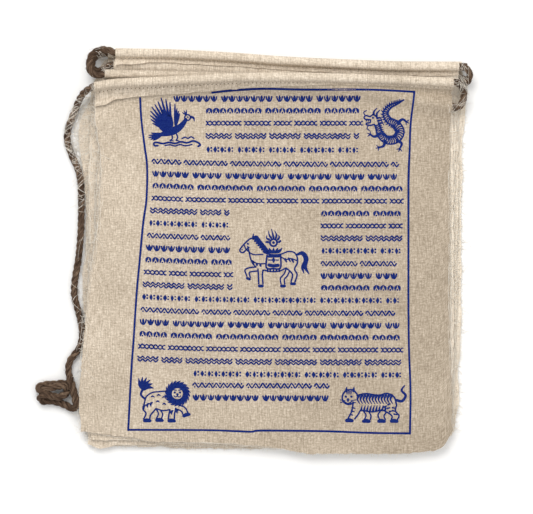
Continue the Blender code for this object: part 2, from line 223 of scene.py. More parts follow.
# The middle line of each casing from left to right, and the open stretches: x, y and z.
CASING_LINES = {
    "flag_1": [(-109.5, 102, 13.2), (-100, 104, 15.0), (-83.5, 104.5, 16.2), (-60, 105.5, 17.6),
               (-19.5, 107.5, 19.3), (17.5, 107.5, 19.0), (48.5, 107, 17.2), (79.5, 106, 14.8),
               (112.5, 104.5, 13.8)],
    "flag_2": [(-103, 110, 11.3), (-83.5, 109.5, 11.3), (-56.5, 109, 11.4), (-13.5, 107.5, 12.2),
               (17.5, 105, 11.9), (55, 101, 10.1), (86, 95, 8.9), (112, 90, 8.6)],
    "flag_3": [(-96.5, 123, 10.9), (-63, 122.5, 10.9), (-25.5, 120.5, 11.0), (5.5, 118, 11.3),
               (45, 116, 11.4), (75.5, 114.5, 11.5), (116, 114.5, 11.4)],
    "flag_4": [(-98, 115.6, 4.7), (-63, 115.2, 4.7), (-25.5, 113.3, 4.7), (5.5, 111.1, 4.7),
               (45, 109.4, 4.7), (75.5, 108.1, 4.7), (115, 107.9, 4.7)],
    "flag_5": [(-101.5, 123, 3.35), (-63, 122.5, 3.35), (-25.5, 120.6, 3.35), (5.5, 118.4, 3.35),
               (45, 116.7, 3.35), (75.5, 115.4, 3.35), (118, 115.2, 3.35)],
}
LOOP_5_TO_4 = [(-105.5, 122.6, 3.4), (-110, 120.2, 3.5), (-111.6, 115.6, 3.9), (-109, 112.2, 4.3),
               (-104.6, 112.9, 4.6), (-101, 115, 4.7)]
LOOP_4_TO_3 = [(118, 107.6, 5), (121, 105, 6), (122.8, 108.5, 7.8), (121.5, 112.5, 9.6)]
LOOP_3_TO_2 = [(-99.5, 124.2, 10.8), (-104.5, 125, 10.5), (-110.5, 122.5, 10.1), (-112.8, 117, 10),
               (-112, 111.5, 10.2), (-107.5, 109, 10.5)]
LOOP_2_TO_1 = [(114.8, 88.8, 7.9), (117.8, 91.5, 8.4), (119, 96.5, 9.8), (118, 101.5, 11.8),
               (115.6, 104, 13)]
TIE = [(-112.5, 100.8, 11.6), (-117, 97.5, 8.6), (-120, 92.6, 4.9), (-122, 88, 2.8), (-124.2, 82.5, 2.3),
       (-126.2, 76.5, 2.3), (-127, 70.5, 2.3), (-125.8, 65, 2.3), (-123.8, 59, 2.3),
       (-121.2, 53.5, 2.3), (-119.2, 47.5, 2.3), (-118.4, 40, 2.3), (-118.2, 32, 2.3),
       (-118.3, 20, 2.3), (-118.8, 8, 2.3), (-120, -4.5, 2.3), (-121.6, -14, 2.3),
       (-122.6, -22.5, 2.3), (-122, -30, 2.3), (-119.8, -38, 2.3), (-118, -46, 2.3),
       (-117.6, -52.5, 2.3), (-119, -59, 2.3), (-122, -63.5, 2.3), (-125, -67.5, 2.3),
       (-126.2, -73, 2.35), (-125.6, -77.5, 2.7)]
TIE_END = (-125.2, -82, 3.6)
CORD_END = (121.5, 115.2, 3.35)


def bell(spread, reach):
    """Weights that soften a row of values, highest in the middle."""
    weights = np.exp(-0.5 * (np.arange(-reach, reach + 1) / spread) ** 2)
    return weights / weights.sum()


def soft_line(rows, spread=6.0):
    """The smooth curve through a table's rows, as a function of their first column."""
    table = sorted(rows)
    firsts = [row[0] for row in table]
    steps = np.linspace(firsts[0], firsts[-1], int(firsts[-1] - firsts[0]) + 2)
    reach = min(int(3 * spread), len(steps) - 2)
    columns = []
    for column in range(1, len(table[0])):
        values = np.interp(steps, firsts, [row[column] for row in table])
        padded = np.pad(values, reach, mode="reflect", reflect_type="odd")
        columns.append(np.convolve(padded, bell(spread, reach), mode="valid"))
    if len(columns) == 1:
        return lambda value: np.interp(value, steps, columns[0])
    return lambda value: [np.interp(value, steps, values) for values in columns]


casing_line = {name: soft_line(rows) for name, rows in CASING_LINES.items()}


def curve_points(points, step):
    """Points about one step apart on the smooth curve through the given ones."""
    knots = [np.array(point, float) for point in points]
    knots = [2 * knots[0] - knots[1], *knots, 2 * knots[-1] - knots[-2]]
    sampled = []
    for k in range(1, len(knots) - 2):
        a, b, c, d = knots[k - 1 : k + 3]
        pieces = max(1, round(float(np.linalg.norm(c - b)) / step))
        for t in np.arange(pieces) / pieces:
            sampled.append(0.5 * (2 * b + (c - a) * t + (2 * a - 5 * b + 4 * c - d) * t**2
                                  + (3 * b - a - 3 * c + d) * t**3))
    sampled.append(knots[-2])
    return np.array(sampled)


def casing_points(name, backwards):
    """The cord's points inside one casing."""
    xs = np.linspace(CASING_LINES[name][0][0], CASING_LINES[name][-1][0], CASING_POINTS)
    ys, zs = casing_line[name](xs)
    points = [tuple(point) for point in np.stack([xs, ys, zs], axis=1).tolist()]
    return points[::-1] if backwards else points


cord_route = [CORD_END, *casing_points("flag_5", True), *LOOP_5_TO_4, *casing_points("flag_4", False),
              *LOOP_4_TO_3, *casing_points("flag_3", True), *LOOP_3_TO_2, *casing_points("flag_2", False),
              *LOOP_2_TO_1, *casing_points("flag_1", True), *TIE, TIE_END]


def run_along(path):
    """How far along a path each of its points is."""
    return np.concatenate([[0.0], np.cumsum(np.linalg.norm(np.diff(path, axis=0), axis=1))])


def point_on(path, run, place):
    """The point of a path at a length along it, or the points at several lengths."""
    return np.stack([np.interp(place, run, path[:, k]) for k in range(3)], axis=-1)


def even_path(points, step):
    """The smooth curve through the points, at even steps along its length."""
    fine = curve_points(points, FINE_STEP)
    run = run_along(fine)
    places = np.linspace(0.0, run[-1], max(2, round(run[-1] / step)) + 1)
    return places, point_on(fine, run, places)


def frames_along(path):
    """Two directions across the path at each point, carried along it without a twist."""
    heads = np.gradient(path, axis=0)
    heads /= np.linalg.norm(heads, axis=1)[:, None]
    side = np.cross(heads[0], (0.0, 0.0, 1.0))
    side /= np.linalg.norm(side)
    sides = []
    for head in heads:
        side = side - head * np.dot(side, head)
        side /= np.linalg.norm(side)
        sides.append(side)
    sides = np.array(sides)
    return sides, np.cross(heads, sides)


def make_mesh(name, points, faces, material, places=None):
    """A piece from its corners in millimetres, with the place of each on the piece."""
    mesh = bpy.data.meshes.new(name)
    mesh.from_pydata((np.asarray(points) * MM).tolist(), [], faces)
    if places is not None:
        layer = mesh.attributes.new("place", "FLOAT_VECTOR", "POINT")
        layer.data.foreach_set("vector", np.asarray(places, dtype=np.float32).ravel())
    mesh.materials.append(material)
    mesh.update()
    mesh.shade_smooth()
    obj = bpy.data.objects.new(name, mesh)
    bpy.context.scene.collection.objects.link(obj)
    return obj


def tube_rings(path, radius, sides, points, faces, places, along):
    """Adds one closed tube round a path to the lists of a mesh in the making."""
    first = len(points)
    across, over = frames_along(path)
    radii = np.broadcast_to(radius, len(path))
    angles = np.arange(sides) * 2 * math.pi / sides
    for k, centre in enumerate(path):
        for angle in angles:
            points.append(centre + radii[k] * (math.cos(angle) * across[k] + math.sin(angle) * over[k]))
            places.append((along[k], angle * float(radii[k]), first))
    for k in range(len(path) - 1):
        low, high = first + k * sides, first + (k + 1) * sides
        for side in range(sides):
            turn = (side + 1) % sides
            faces.append((low + side, low + turn, high + turn, high + side))
    last = first + (len(path) - 1) * sides
    faces.append(tuple(range(first + sides - 1, first - 1, -1)))
    faces.append(tuple(range(last, last + sides)))


def make_rope(name, path, along, material, swell=1.0):
    """Three strands laid round a path."""
    across, over = frames_along(path)
    points, faces, places = [], [], []
    slack = random.Random(len(path))
    for strand in range(STRANDS):
        turns = along / LAY * 2 * math.pi + strand * 2 * math.pi / STRANDS
        wander = np.array([noise.noise(Vector((place * 0.09, strand * 7.3, slack.random() * 0.01)))
                           for place in along])
        reach = STRAND_OFFSET * swell * (1 + STRAND_WANDER * wander)
        centres = path + (np.cos(turns) * reach)[:, None] * across + (np.sin(turns) * reach)[:, None] * over
        thick = STRAND * swell * (1 + STRAND_SWELL * np.roll(wander, 9))
        thick[:2] *= STRAND_TIP
        thick[-2:] *= STRAND_TIP[::-1]
        tube_rings(centres, thick, STRAND_SIDES, points, faces, places, along + strand * 40.0)
    return make_mesh(name, points, faces, material, places)


jute = Finish("brown_jute", JUTE, 0.95)
jute_place = jute.place("place")
yarn_lines = jute.grain(jute.stretched(jute_place, (0.35, 2.6, 1.0)), 1.0, 3.0, 0.65)
yarn_tone = jute.grain(jute.stretched(jute_place, (0.06, 0.2, 1.0)), 1.0, 2.0)
yarn_share = yarn_lines * 1.1 + yarn_tone * 0.7 - 0.4
jute.feed("Base Color", jute.ramp(yarn_share, [(0.3, JUTE_DARK), (0.5, JUTE), (0.75, JUTE_LIGHT)]))
jute.feed("Normal", jute.relief(yarn_lines, 0.9, 0.25))

cord_along, cord_path = even_path(cord_route, CORD_STEP)
cord_path[:, 2] = np.maximum(cord_path[:, 2], CORD_REST)
cord_rope = make_rope("cord_rope", cord_path, cord_along, jute.material)
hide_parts("cord")
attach(cord_rope, "root")

# The knotted end of the tie: the cord's last stretch is folded to and fro into two fat loops, and
# one turn of it is wound round them and pulled tight.
KNOT = [(-125.6, -77.5, 2.7), (-124.6, -80.5, 5.4), (-123.2, -84.5, 6.9), (-122.0, -90, 7.1),
        (-121.4, -95, 5.4), (-122.8, -97.8, 3.2), (-126, -96.4, 2.4), (-131, -94.2, 2.3),
        (-137, -92.8, 2.4), (-141.3, -93.1, 2.8), (-143.6, -91.2, 4.4), (-142, -88.8, 6.0),
        (-137.5, -89.2, 6.3), (-132, -90.4, 5.6), (-127.6, -88.2, 3.8), (-125.6, -84.6, 2.5),
        (-128.5, -81.9, 2.3), (-134, -82.4, 2.4), (-140, -82.6, 2.6), (-144.2, -84, 3.8),
        (-143.2, -86.4, 5.8), (-139, -85.2, 6.5), (-133.5, -83.6, 6.5), (-128.8, -83.4, 5.4),
        (-126.2, -85.6, 4.2)]
KNOT_SWELL = 1.08
KNOT_STEP = CORD_STEP * 0.8

knot_along, knot_path = even_path(KNOT, KNOT_STEP)
knot_path[:, 2] = np.maximum(knot_path[:, 2], CORD_REST * KNOT_SWELL)
knot_rope = make_rope("knot_rope", knot_path, knot_along, jute.material, KNOT_SWELL)
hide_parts("tie_knot")
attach(knot_rope, "root")

# The flags: each is one square of unbleached cotton muslin with raw edges. Its top edge is turned
# over the cord and sewn down, which makes the casing and leaves a narrow hem flap.
CLOTH = 1.0
LAYER_GAP = 0.4
FOLD = 1.3
LAYER = CLOTH + LAYER_GAP
SEAM = 4.3
SEAM_SLOPE = 1.65
CASING = 2.85
CASING_OUTER = CASING + CLOTH / 2
CASING_REACH = 25
DRAPE_SLOPE = 1.1
SOFTENING = (1.5, 3.0)
HEM_GAP = 0.85
HEM_SLACK = 1.5
EDGE_SLACK = 3
FLAP_LIFT = 1.45
CREST = 1.2
CREST_EDGES = {"hem": 92, "foot": -122, "side": 118}
VALLEYS = [{"at": 49, "slant": 0.03, "width": 9}, {"at": -29, "slant": 0.0, "width": 10}]
VALLEY_DEPTH = 0.8
HEM_FOOT = 76
FLAGS_IN_STACK = 5
FACE_DOWN = ("flag_2", "flag_4")

MUSLIN = 0.5
MUSLIN_FOLD = 0.75
MUSLIN_CASING = 2.5
SEWN = 3.0
PINCH = 0.22
STRIPS = {"flag_1": 132, "flag_2": 110, "flag_3": 110, "flag_4": 96, "flag_5": 96}
BODY_ROWS = {"flag_1": 132, "flag_2": 104, "flag_3": 104, "flag_4": 96, "flag_5": 96}
RING_ROWS = 18
FLAP_ROWS = 5
FLAP_CURL = {"flat": 0.25, "hidden": 0.12, "corner": 1.5, "corner_x": -110, "reach": 55}
ROW_SPREAD = (0.55, 0.45)
SMOOTHINGS = 6
SHARP_EDGE = 60
WAVES = {"height": 0.16, "size": 34.0}
WRINKLES = {"height": 0.07, "size": 9.0}
PUCKERS = {"height": 0.2, "size": 4.2, "reach": 4.5}
TORN_EDGE = [{"depth": 0.35, "size": 6.0}, {"depth": 0.25, "size": 2.2}]
TORN_FOOT = {"depth": 0.4, "size": 3.0}
TORN_FLAP = {"depth": 0.35, "size": 5.0}

# The outline of each flag as it lies: the sides as y and x from the head down, and the foot as x
# and y from left to right. A flap's reach below its casing's line is given as x and reach.
LEFT_EDGES = {
    "flag_1": [(102, -109.5), (91.5, -109.5), (74, -109), (64, -105.5), (32, -106.5), (11, -108),
               (-1.5, -110.5), (-26.5, -114), (-50, -116), (-81.5, -119), (-95, -119.5), (-111.5, -118)],
    "flag_2": [(110, -103), (83.5, -107), (0, -109), (-60, -113), (-118, -112)],
    "flag_3": [(123, -96.5), (110, -99), (95, -104), (60, -108), (-20, -110), (-118, -114)],
    "flag_4": [(115.6, -98), (100, -105), (92, -108), (83.5, -113), (50, -113.5), (-53, -113.5), (-118, -113)],
    "flag_5": [(123, -101.5), (104, -112), (92, -112.5), (85, -118.5), (72, -120.5), (61, -119),
               (53.5, -117.5), (32, -115.5), (1, -115.5), (-14.5, -117.5), (-30, -118), (-47.5, -114),
               (-118, -113.5)],
}
RIGHT_EDGES = {
    "flag_1": [(104.5, 112.5), (79, 110.5), (-48.5, 110.5), (-82, 111.5), (-111, 112)],
    "flag_2": [(90, 112), (60, 113), (-60, 113), (-115, 111)],
    "flag_3": [(114.5, 116), (90, 114.5), (0, 113.5), (-116, 112)],
    "flag_4": [(107.9, 115), (90, 116), (0, 115.5), (-112, 113.5)],
    "flag_5": [(115.2, 118), (104, 120.5), (83.5, 120.5), (63, 118), (50.5, 119), (32.5, 118),
               (-57.5, 118), (-73.5, 116), (-94.5, 117), (-112, 113)],
}
LOWER_EDGES = {
    "flag_1": [(-118, -111.5), (-103.5, -113.5), (-81.5, -116), (-76.5, -118), (-50.5, -118.5),
               (-25, -119.5), (5.5, -122), (22, -125.5), (82, -125.5), (101, -123.5), (106, -122),
               (109, -118.5), (112, -111)],
    "flag_2": [(-112, -117), (0, -118), (90, -121), (111, -113)],
    "flag_3": [(-114, -119.5), (-106, -123.5), (-98, -120), (0, -121), (90, -121), (112, -114)],
    "flag_4": [(-113, -118), (-100, -121), (-75, -121.2), (-25, -120), (60, -122), (113.5, -112)],
    "flag_5": [(-113.5, -117), (-80, -119), (-60, -122.4), (-25, -122.4), (20, -123), (90, -123),
               (113, -112)],
}
FLAP_REACH = {
    "flag_1": [(-109.5, 12.5), (-103, 12), (-94.5, 9.5), (-73, 8.1), (-42.5, 7.6), (5, 5.6), (40, 4.2),
               (85, 4.0), (112, 4.2)],
    "flag_2": [(0, 5.8), (1, 5.8)],
    "flag_3": [(-96.5, 7.4), (-81.5, 6.8), (-74, 5.6)],
    "flag_4": [(0, 5.8), (1, 5.8)],
    "flag_5": [(0, SEAM + 0.9), (1, SEAM + 0.9)],
}
GRID_X = np.arange(-130.0, 130.5, 2.0)
GRID_Y = np.arange(-132.0, 132.5, 0.5)

left_edge = {name: soft_line(rows, 4.0) for name, rows in LEFT_EDGES.items()}
right_edge = {name: soft_line(rows, 4.0) for name, rows in RIGHT_EDGES.items()}
lower_edge = {name: soft_line(rows, 2.0) for name, rows in LOWER_EDGES.items()}


def table_at(table, value):
    """The table's second column at a value of its first, whichever way the table runs."""
    rows = sorted(table)
    return np.interp(value, [row[0] for row in rows], [row[1] for row in rows])


def crest(x, y):
    """The loose swell of the stack between its two soft valleys, from 0 to CREST."""
    upper, lower = (np.exp(-(((y - valley["at"] - valley["slant"] * x) / valley["width"]) ** 2))
                    for valley in VALLEYS)
    hem_side = np.clip((CREST_EDGES["hem"] - y) / 30, 0, 1)
    lower_side = np.clip((y - CREST_EDGES["foot"]) / 40, 0, 1)
    sides = np.clip((CREST_EDGES["side"] - np.abs(x)) / 30, 0, 1)
    return CREST * hem_side * lower_side * sides * (1 - VALLEY_DEPTH * upper - VALLEY_DEPTH * lower)


def casing_top(below):
    """Height of a casing's outside over its middle line, at a distance below that line."""
    round_part = np.sqrt(np.clip(CASING_OUTER**2 - below**2, 0, None))
    round_part = np.where(np.abs(below) <= CASING_OUTER, round_part, -np.inf)
    seam_part = FOLD - CASING + CLOTH / 2 + SEAM_SLOPE * (SEAM - below)
    seam_part = np.where((below > 0.8 * CASING) & (below <= SEAM + 0.5), seam_part, -np.inf)
    return np.maximum(round_part, seam_part)


def drape(need):
    """The lowest cloth that clears every height in need and is nowhere steeper than the slope."""
    cloth = need.copy()
    step_y = DRAPE_SLOPE * (GRID_Y[1] - GRID_Y[0])
    step_x = 0.5 * DRAPE_SLOPE * (GRID_X[1] - GRID_X[0])
    for j in range(1, len(GRID_Y)):
        cloth[:, j] = np.maximum(cloth[:, j], cloth[:, j - 1] - step_y)
    for j in range(len(GRID_Y) - 2, -1, -1):
        cloth[:, j] = np.maximum(cloth[:, j], cloth[:, j + 1] - step_y)
    for i in range(1, len(GRID_X)):
        cloth[i] = np.maximum(cloth[i], cloth[i - 1] - step_x)
    for i in range(len(GRID_X) - 2, -1, -1):
        cloth[i] = np.maximum(cloth[i], cloth[i + 1] - step_x)
    return cloth


def softened(field, spread_x, spread_y):
    """The field with its sharp bends rounded."""
    for axis, spread in ((0, spread_x), (1, spread_y)):
        reach = int(3 * spread)
        pads = [(0, 0), (0, 0)]
        pads[axis] = (reach, reach)
        padded = np.pad(field, pads, mode="edge")
        field = np.apply_along_axis(np.convolve, axis, padded, bell(spread, reach), mode="valid")
    return field


def settle_flags():
    """Lays the flags on each other from the table up, and keeps the height of each one's cloth."""
    x = GRID_X[:, None]
    y = GRID_Y[None, :]
    heap = np.zeros((len(GRID_X), len(GRID_Y)))
    heights = {}
    for level in range(FLAGS_IN_STACK):
        name = f"flag_{FLAGS_IN_STACK - level}"
        line_y, line_z = casing_line[name](x)
        below = line_y - y
        reach = table_at(FLAP_REACH[name], x)
        on_hem = (below >= 0) & (below <= reach + HEM_SLACK)
        flat = level * LAYER + CLOTH / 2 + crest(x, y) * level / (FLAGS_IN_STACK - 1)
        gap = np.where(y > HEM_FOOT, HEM_GAP, LAYER_GAP) if level else 0.0
        need = heap + gap + CLOTH / 2
        if name in FACE_DOWN:
            need = need + np.where(on_hem, FLAP_LIFT, 0.0)
        cloth = drape(np.maximum(np.where(below > -CASING, need, 0.0), flat))
        heights[name] = softened(cloth, *SOFTENING)
        inside = (x > left_edge[name](y) - EDGE_SLACK) & (x < right_edge[name](y) + EDGE_SLACK)
        top = cloth + CLOTH / 2
        if name not in FACE_DOWN:
            top = top + np.where(on_hem, FLAP_LIFT, 0.0)
        heap = np.where(inside & (below > SEAM - 1), np.maximum(heap, top), heap)
        over_casing = line_z + casing_top(below)
        leaving = line_z - CASING + CLOTH / 2 + FOLD - DRAPE_SLOPE * (below - SEAM)
        over_casing = np.where((below > SEAM) & (below < CASING_REACH), leaving, over_casing)
        heap = np.where(inside, np.maximum(heap, over_casing), heap)
    return heights


def height_at(cloth, x, y):
    """The cloth's height at many points, read from the grid."""
    i = np.clip((x - GRID_X[0]) / (GRID_X[1] - GRID_X[0]), 0, len(GRID_X) - 1.001)
    j = np.clip((y - GRID_Y[0]) / (GRID_Y[1] - GRID_Y[0]), 0, len(GRID_Y) - 1.001)
    i0, j0 = i.astype(int), j.astype(int)
    s, t = i - i0, j - j0
    low = cloth[i0, j0] * (1 - t) + cloth[i0, j0 + 1] * t
    high = cloth[i0 + 1, j0] * (1 - t) + cloth[i0 + 1, j0 + 1] * t
    return low * (1 - s) + high * s


def ripple(x, y, seed, size):
    """Smooth chance relief between about -1 and 1, over patches of a given size."""
    flat_x, flat_y = np.broadcast_arrays(x, y)
    values = [noise.noise(Vector((px / size, py / size, seed)))
              for px, py in zip(flat_x.ravel().tolist(), flat_y.ravel().tolist())]
    return 2 * np.array(values).reshape(flat_x.shape)


def creases(name, x, y, below):
    """Shallow waves of the loose cloth and puckers along the seam."""
    seed = int(name[-1]) * 11.7
    loose = (WAVES["height"] * ripple(x, y, seed, WAVES["size"])
             + WRINKLES["height"] * ripple(x * 0.6, y, seed + 5, WRINKLES["size"]))
    near_seam = np.exp(-(((below - SEWN - 1.5) / PUCKERS["reach"]) ** 2))
    pucker = PUCKERS["height"] * ripple(x, y * 0.12, seed + 9, PUCKERS["size"]) * near_seam
    settle = np.clip((below - SEWN) / 4, 0, 1)
    return settle * loose + np.clip((below - SEWN) / 1.5, 0, 1) * pucker


def flag_rows(name, cloth):
    """The middle of a flag's cloth: rows from the hem flap round the cord to the lower edge."""
    shares = np.linspace(0, 1, STRIPS[name] + 1)
    left, right = LEFT_EDGES[name], RIGHT_EDGES[name]
    hem_x = left[0][1] + shares * (right[0][1] - left[0][1])
    line_y, line_z = casing_line[name](hem_x)
    face_down = name in FACE_DOWN
    if face_down:
        over = line_z - CASING + FOLD
        under = over - MUSLIN_FOLD
    else:
        under = line_z - CASING
        over = under + MUSLIN_FOLD
    body_start = over if face_down else under
    seed = int(name[-1]) * 3.1

    foot_x = left[-1][1] + shares * (right[-1][1] - left[-1][1])
    seam_y = line_y - SEWN
    lower_y = lower_edge[name](foot_x)
    parts = np.linspace(0, 1, BODY_ROWS[name] + 1)
    parts = parts * (ROW_SPREAD[0] + ROW_SPREAD[1] * parts)
    body = []
    for part in parts:
        y = seam_y + part * (lower_y - seam_y)
        at_left, at_right = left_edge[name](y), right_edge[name](y)
        coarse, fine = (tear["depth"] * ripple(y, y * 0, seed + shift, tear["size"])
                        for tear, shift in zip(TORN_EDGE, (0, 2)))
        near_side = (np.abs(shares - 0.5) * 2) ** 30
        x = at_left + shares * (at_right - at_left) + (coarse + fine) * np.sign(0.5 - shares) * near_side
        below = line_y - y
        z = np.maximum(height_at(cloth, x, y), body_start - DRAPE_SLOPE * (below - SEWN))
        body.append(np.stack([x, y, z], axis=1))
    body = np.array(body)
    for _ in range(SMOOTHINGS):
        body[1:-1, :, 2] = 0.25 * body[:-2, :, 2] + 0.5 * body[1:-1, :, 2] + 0.25 * body[2:, :, 2]
    below = line_y[None, :] - body[:, :, 1]
    body[:, :, 2] += creases(name, body[:, :, 0], body[:, :, 1], below)
    foot = body[-1, :, 0]
    body[-1, :, 1] += TORN_FOOT["depth"] * ripple(foot, foot * 0, seed + 4, TORN_FOOT["size"])

    lift = -MUSLIN_FOLD if face_down else MUSLIN_FOLD
    near_corner = np.exp(-(((hem_x - FLAP_CURL["corner_x"]) / FLAP_CURL["reach"]) ** 2))
    curl = FLAP_CURL["hidden"] if face_down else FLAP_CURL["flat"] + FLAP_CURL["corner"] * near_corner
    reach = np.maximum(table_at(FLAP_REACH[name], hem_x), SEWN + 1.0)
    reach = reach + TORN_FLAP["depth"] * ripple(hem_x, hem_x * 0, seed + 7, TORN_FLAP["size"])
    flap = []
    for part in np.linspace(1, 0, FLAP_ROWS + 1)[:-1]:
        y = seam_y - part * (reach - SEWN)
        at_row = [np.interp(-y[c], -body[:, c, 1], body[:, c, 2]) for c in range(len(shares))]
        flap.append(np.stack([hem_x, y, np.array(at_row) + lift * (1 + curl * part**1.5)], axis=1))

    over = over - PINCH
    rise, fall = over - line_z, under - line_z
    start = np.arctan2(rise, SEWN) + np.arccos(MUSLIN_CASING / np.hypot(SEWN, rise))
    end = 2 * math.pi + np.arctan2(fall, SEWN) - np.arccos(MUSLIN_CASING / np.hypot(SEWN, fall))
    ring = []
    for part in np.linspace(0, 1, RING_ROWS + 1):
        angle = start + part * (end - start)
        ring.append(np.stack([hem_x, line_y - MUSLIN_CASING * np.cos(angle),
                              line_z + MUSLIN_CASING * np.sin(angle)], axis=1))
    seam_over = np.stack([hem_x, seam_y, over], axis=1)
    seam_under = np.stack([hem_x, seam_y, under], axis=1)
    if face_down:
        hem = [*flap, seam_under, *ring[::-1], seam_over]
    else:
        hem = [*flap, seam_over, *ring, seam_under]
    return np.array(hem + list(body[1:]))


def make_flag(name, cloth, material):
    """One flag: a closed sheet, half a thickness to each side of the middle of its cloth."""
    rows = flag_rows(name, cloth)
    along_x = np.gradient(rows, axis=1)
    along_y = np.gradient(rows, axis=0)
    normals = np.cross(along_x, along_y)
    normals /= np.linalg.norm(normals, axis=2)[:, :, None]
    top = rows - normals * MUSLIN / 2
    bottom = rows + normals * MUSLIN / 2
    count_y, count_x = rows.shape[:2]
    strides = np.linalg.norm(np.diff(rows, axis=0), axis=2).mean(axis=1)
    run = np.concatenate([[0.0], np.cumsum(strides)])
    places = np.stack([rows[:, :, 0], np.broadcast_to(-run[:, None], rows.shape[:2]),
                       np.zeros(rows.shape[:2])], axis=2)
    points = np.concatenate([top.reshape(-1, 3), bottom.reshape(-1, 3)])
    lie = np.tile(places.reshape(-1, 3), (2, 1))
    under = count_y * count_x
    faces = []
    for row in range(count_y - 1):
        for column in range(count_x - 1):
            a = row * count_x + column
            b, c, d = a + 1, a + 1 + count_x, a + count_x
            faces.append((a, b, c, d))
            faces.append((under + a, under + d, under + c, under + b))
    rim = [*range(count_x), *(row * count_x + count_x - 1 for row in range(1, count_y)),
           *range(under - 2, under - count_x - 1, -1),
           *(row * count_x for row in range(count_y - 2, 0, -1))]
    for here, there in zip(rim, rim[1:] + rim[:1]):
        faces.append((there, here, under + here, under + there))
    flag = make_mesh(name + "_cloth", points, faces, material, lie)
    flag.data.set_sharp_from_angle(angle=math.radians(SHARP_EDGE))
    # The shade attribute holds each flag's tone with painted light: lighter casings, a painted fall-off of the
    # light across the top flag and painted brightness on the lower flags' shaded edges.
    hem_tone_and_light, left_tone_and_light, right_tone_and_light = TONES_AND_PAINTED_LIGHT[name]
    across = left_tone_and_light + (right_tone_and_light - left_tone_and_light) * np.linspace(0, 1, count_x)
    on_hem = np.arange(count_y)[:, None] < HEM_ROWS
    tone = np.where(on_hem, hem_tone_and_light, across)
    shade = flag.data.attributes.new("shade", "FLOAT", "POINT")
    shade.data.foreach_set("value", np.tile(tone.ravel(), 2).astype(np.float32))
    return flag, rows, (top if name in FACE_DOWN else bottom)


MUSLIN_SHADE = (0.3, 0.24, 0.175)
MUSLIN_DARK = (0.42, 0.345, 0.26)
MUSLIN_TONE = (0.57, 0.48, 0.375)
MUSLIN_LIGHT = (0.74, 0.64, 0.52)
MUSLIN_WHITE = (0.92, 0.83, 0.7)
WARP = 0.74
WEFT = 0.8
HEM_ROWS = FLAP_ROWS + 1 + RING_ROWS + 1 + 1
# How pale each flag is at its hem, at its left side and at its right side: partly the cloth's own tone, partly
# painted light. The top flag is painted darker towards its right as the daylight falls off, the lower flags
# are painted brighter at their edges where the top flag shades them, and the casings are painted lighter where
# their raised tops catch the light.
TONES_AND_PAINTED_LIGHT = {"flag_1": (1.3, 0.7, -0.8), "flag_2": (1.0, 1.2, 3.4), "flag_3": (1.6, 1.5, 3.6),
         "flag_4": (1.2, 1.8, 3.8), "flag_5": (1.2, 1.8, 3.8)}

muslin = Finish("muslin", MUSLIN_TONE, 0.92)
weave_place = muslin.place("place")
slub_across = muslin.grain(muslin.stretched(weave_place, (0.22, 1.7, 1.0)), 1.0, 2.0, 0.6)
slub_down = muslin.grain(muslin.stretched(weave_place, (1.7, 0.14, 1.0)), 1.0, 2.0, 0.6)
speckle = muslin.grain(weave_place, 0.8, 3.0, 0.75)
thread_x = muslin.part(weave_place, "X") * (2 * math.pi / WARP) + slub_down * 6.0
thread_y = muslin.part(weave_place, "Y") * (2 * math.pi / WEFT) + slub_across * 6.0
weave = muslin.wave(thread_x) * muslin.wave(thread_y)
tone = muslin.grain(weave_place, 0.03, 3.0, 0.55)
streaks = slub_across * 0.4 + slub_down * 0.5 + speckle * 0.6
# The shade attribute brings each flag's tone and its painted light into the colour.
piece_tone_and_light = muslin.node("ShaderNodeAttribute", {"attribute_name": "shade"}, {}, "Fac")
shade = streaks * 1.35 + tone * 0.25 + weave * 0.05 + piece_tone_and_light * 0.1 - 0.7475
muslin.feed("Base Color", muslin.ramp(shade, [
    (0.12, MUSLIN_SHADE), (0.3, MUSLIN_DARK), (0.48, MUSLIN_TONE), (0.64, MUSLIN_LIGHT), (0.85, MUSLIN_WHITE),
]))
muslin.feed("Normal", muslin.relief(weave * 0.5 + streaks * 1.6, 0.7, 0.17))

cloth_heights = settle_flags()
flag_objects = {}
flag_middles = {}
hem_faces = {}
for flag_name, cloth_height in cloth_heights.items():
    flag, middle, hem_face = make_flag(flag_name, cloth_height, muslin.material)
    "printed_cotton" if flag_name == "flag_1" else "cotton"
    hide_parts(flag_name)
    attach(flag, "root")
    flag_objects[flag_name] = flag
    flag_middles[flag_name] = middle
    hem_faces[flag_name] = hem_face

for level in range(FLAGS_IN_STACK):
    flag_name = f"flag_{FLAGS_IN_STACK - level}"

# The seams: a straight machine stitch in undyed cotton holds each casing and its hem flap. The
# thread lies in short even stitches, with a flat dark disc of painted shadow for the needle hole at each end,
# and puckers the cloth.
STITCH = 2.5
STITCH_LENGTH = 1.75
STITCH_RADIUS = 0.28
STITCH_SUNK = 0.04
STITCH_SIDES = 5
STITCH_TAPER = (0.7, 1.0, 0.7)
STITCH_WAVER = 0.12
FIRST_STITCH = 1.2
HOLE_SHADOW_RADIUS = 0.42
HOLE_SHADOW_STRETCH = 1.4
HOLE_SHADOW_CORNERS = 6
HOLE_SHADOW_LIFT = 0.06
THREAD_WHITE = (0.86, 0.78, 0.66)
THREAD_SHADE = (0.66, 0.58, 0.47)
HOLE_SHADOW_DARK = (0.12, 0.085, 0.055)
HOLE_SHADOW_LIGHT = (0.3, 0.23, 0.16)


def seam_line(name):
    """The points of a flag's seam on its upper face, from left to right, and the row below it."""
    rows = hem_faces[name]
    here, after = (HEM_ROWS - 1, HEM_ROWS) if name in FACE_DOWN else (FLAP_ROWS, FLAP_ROWS - 1)
    return rows[here], rows[after]


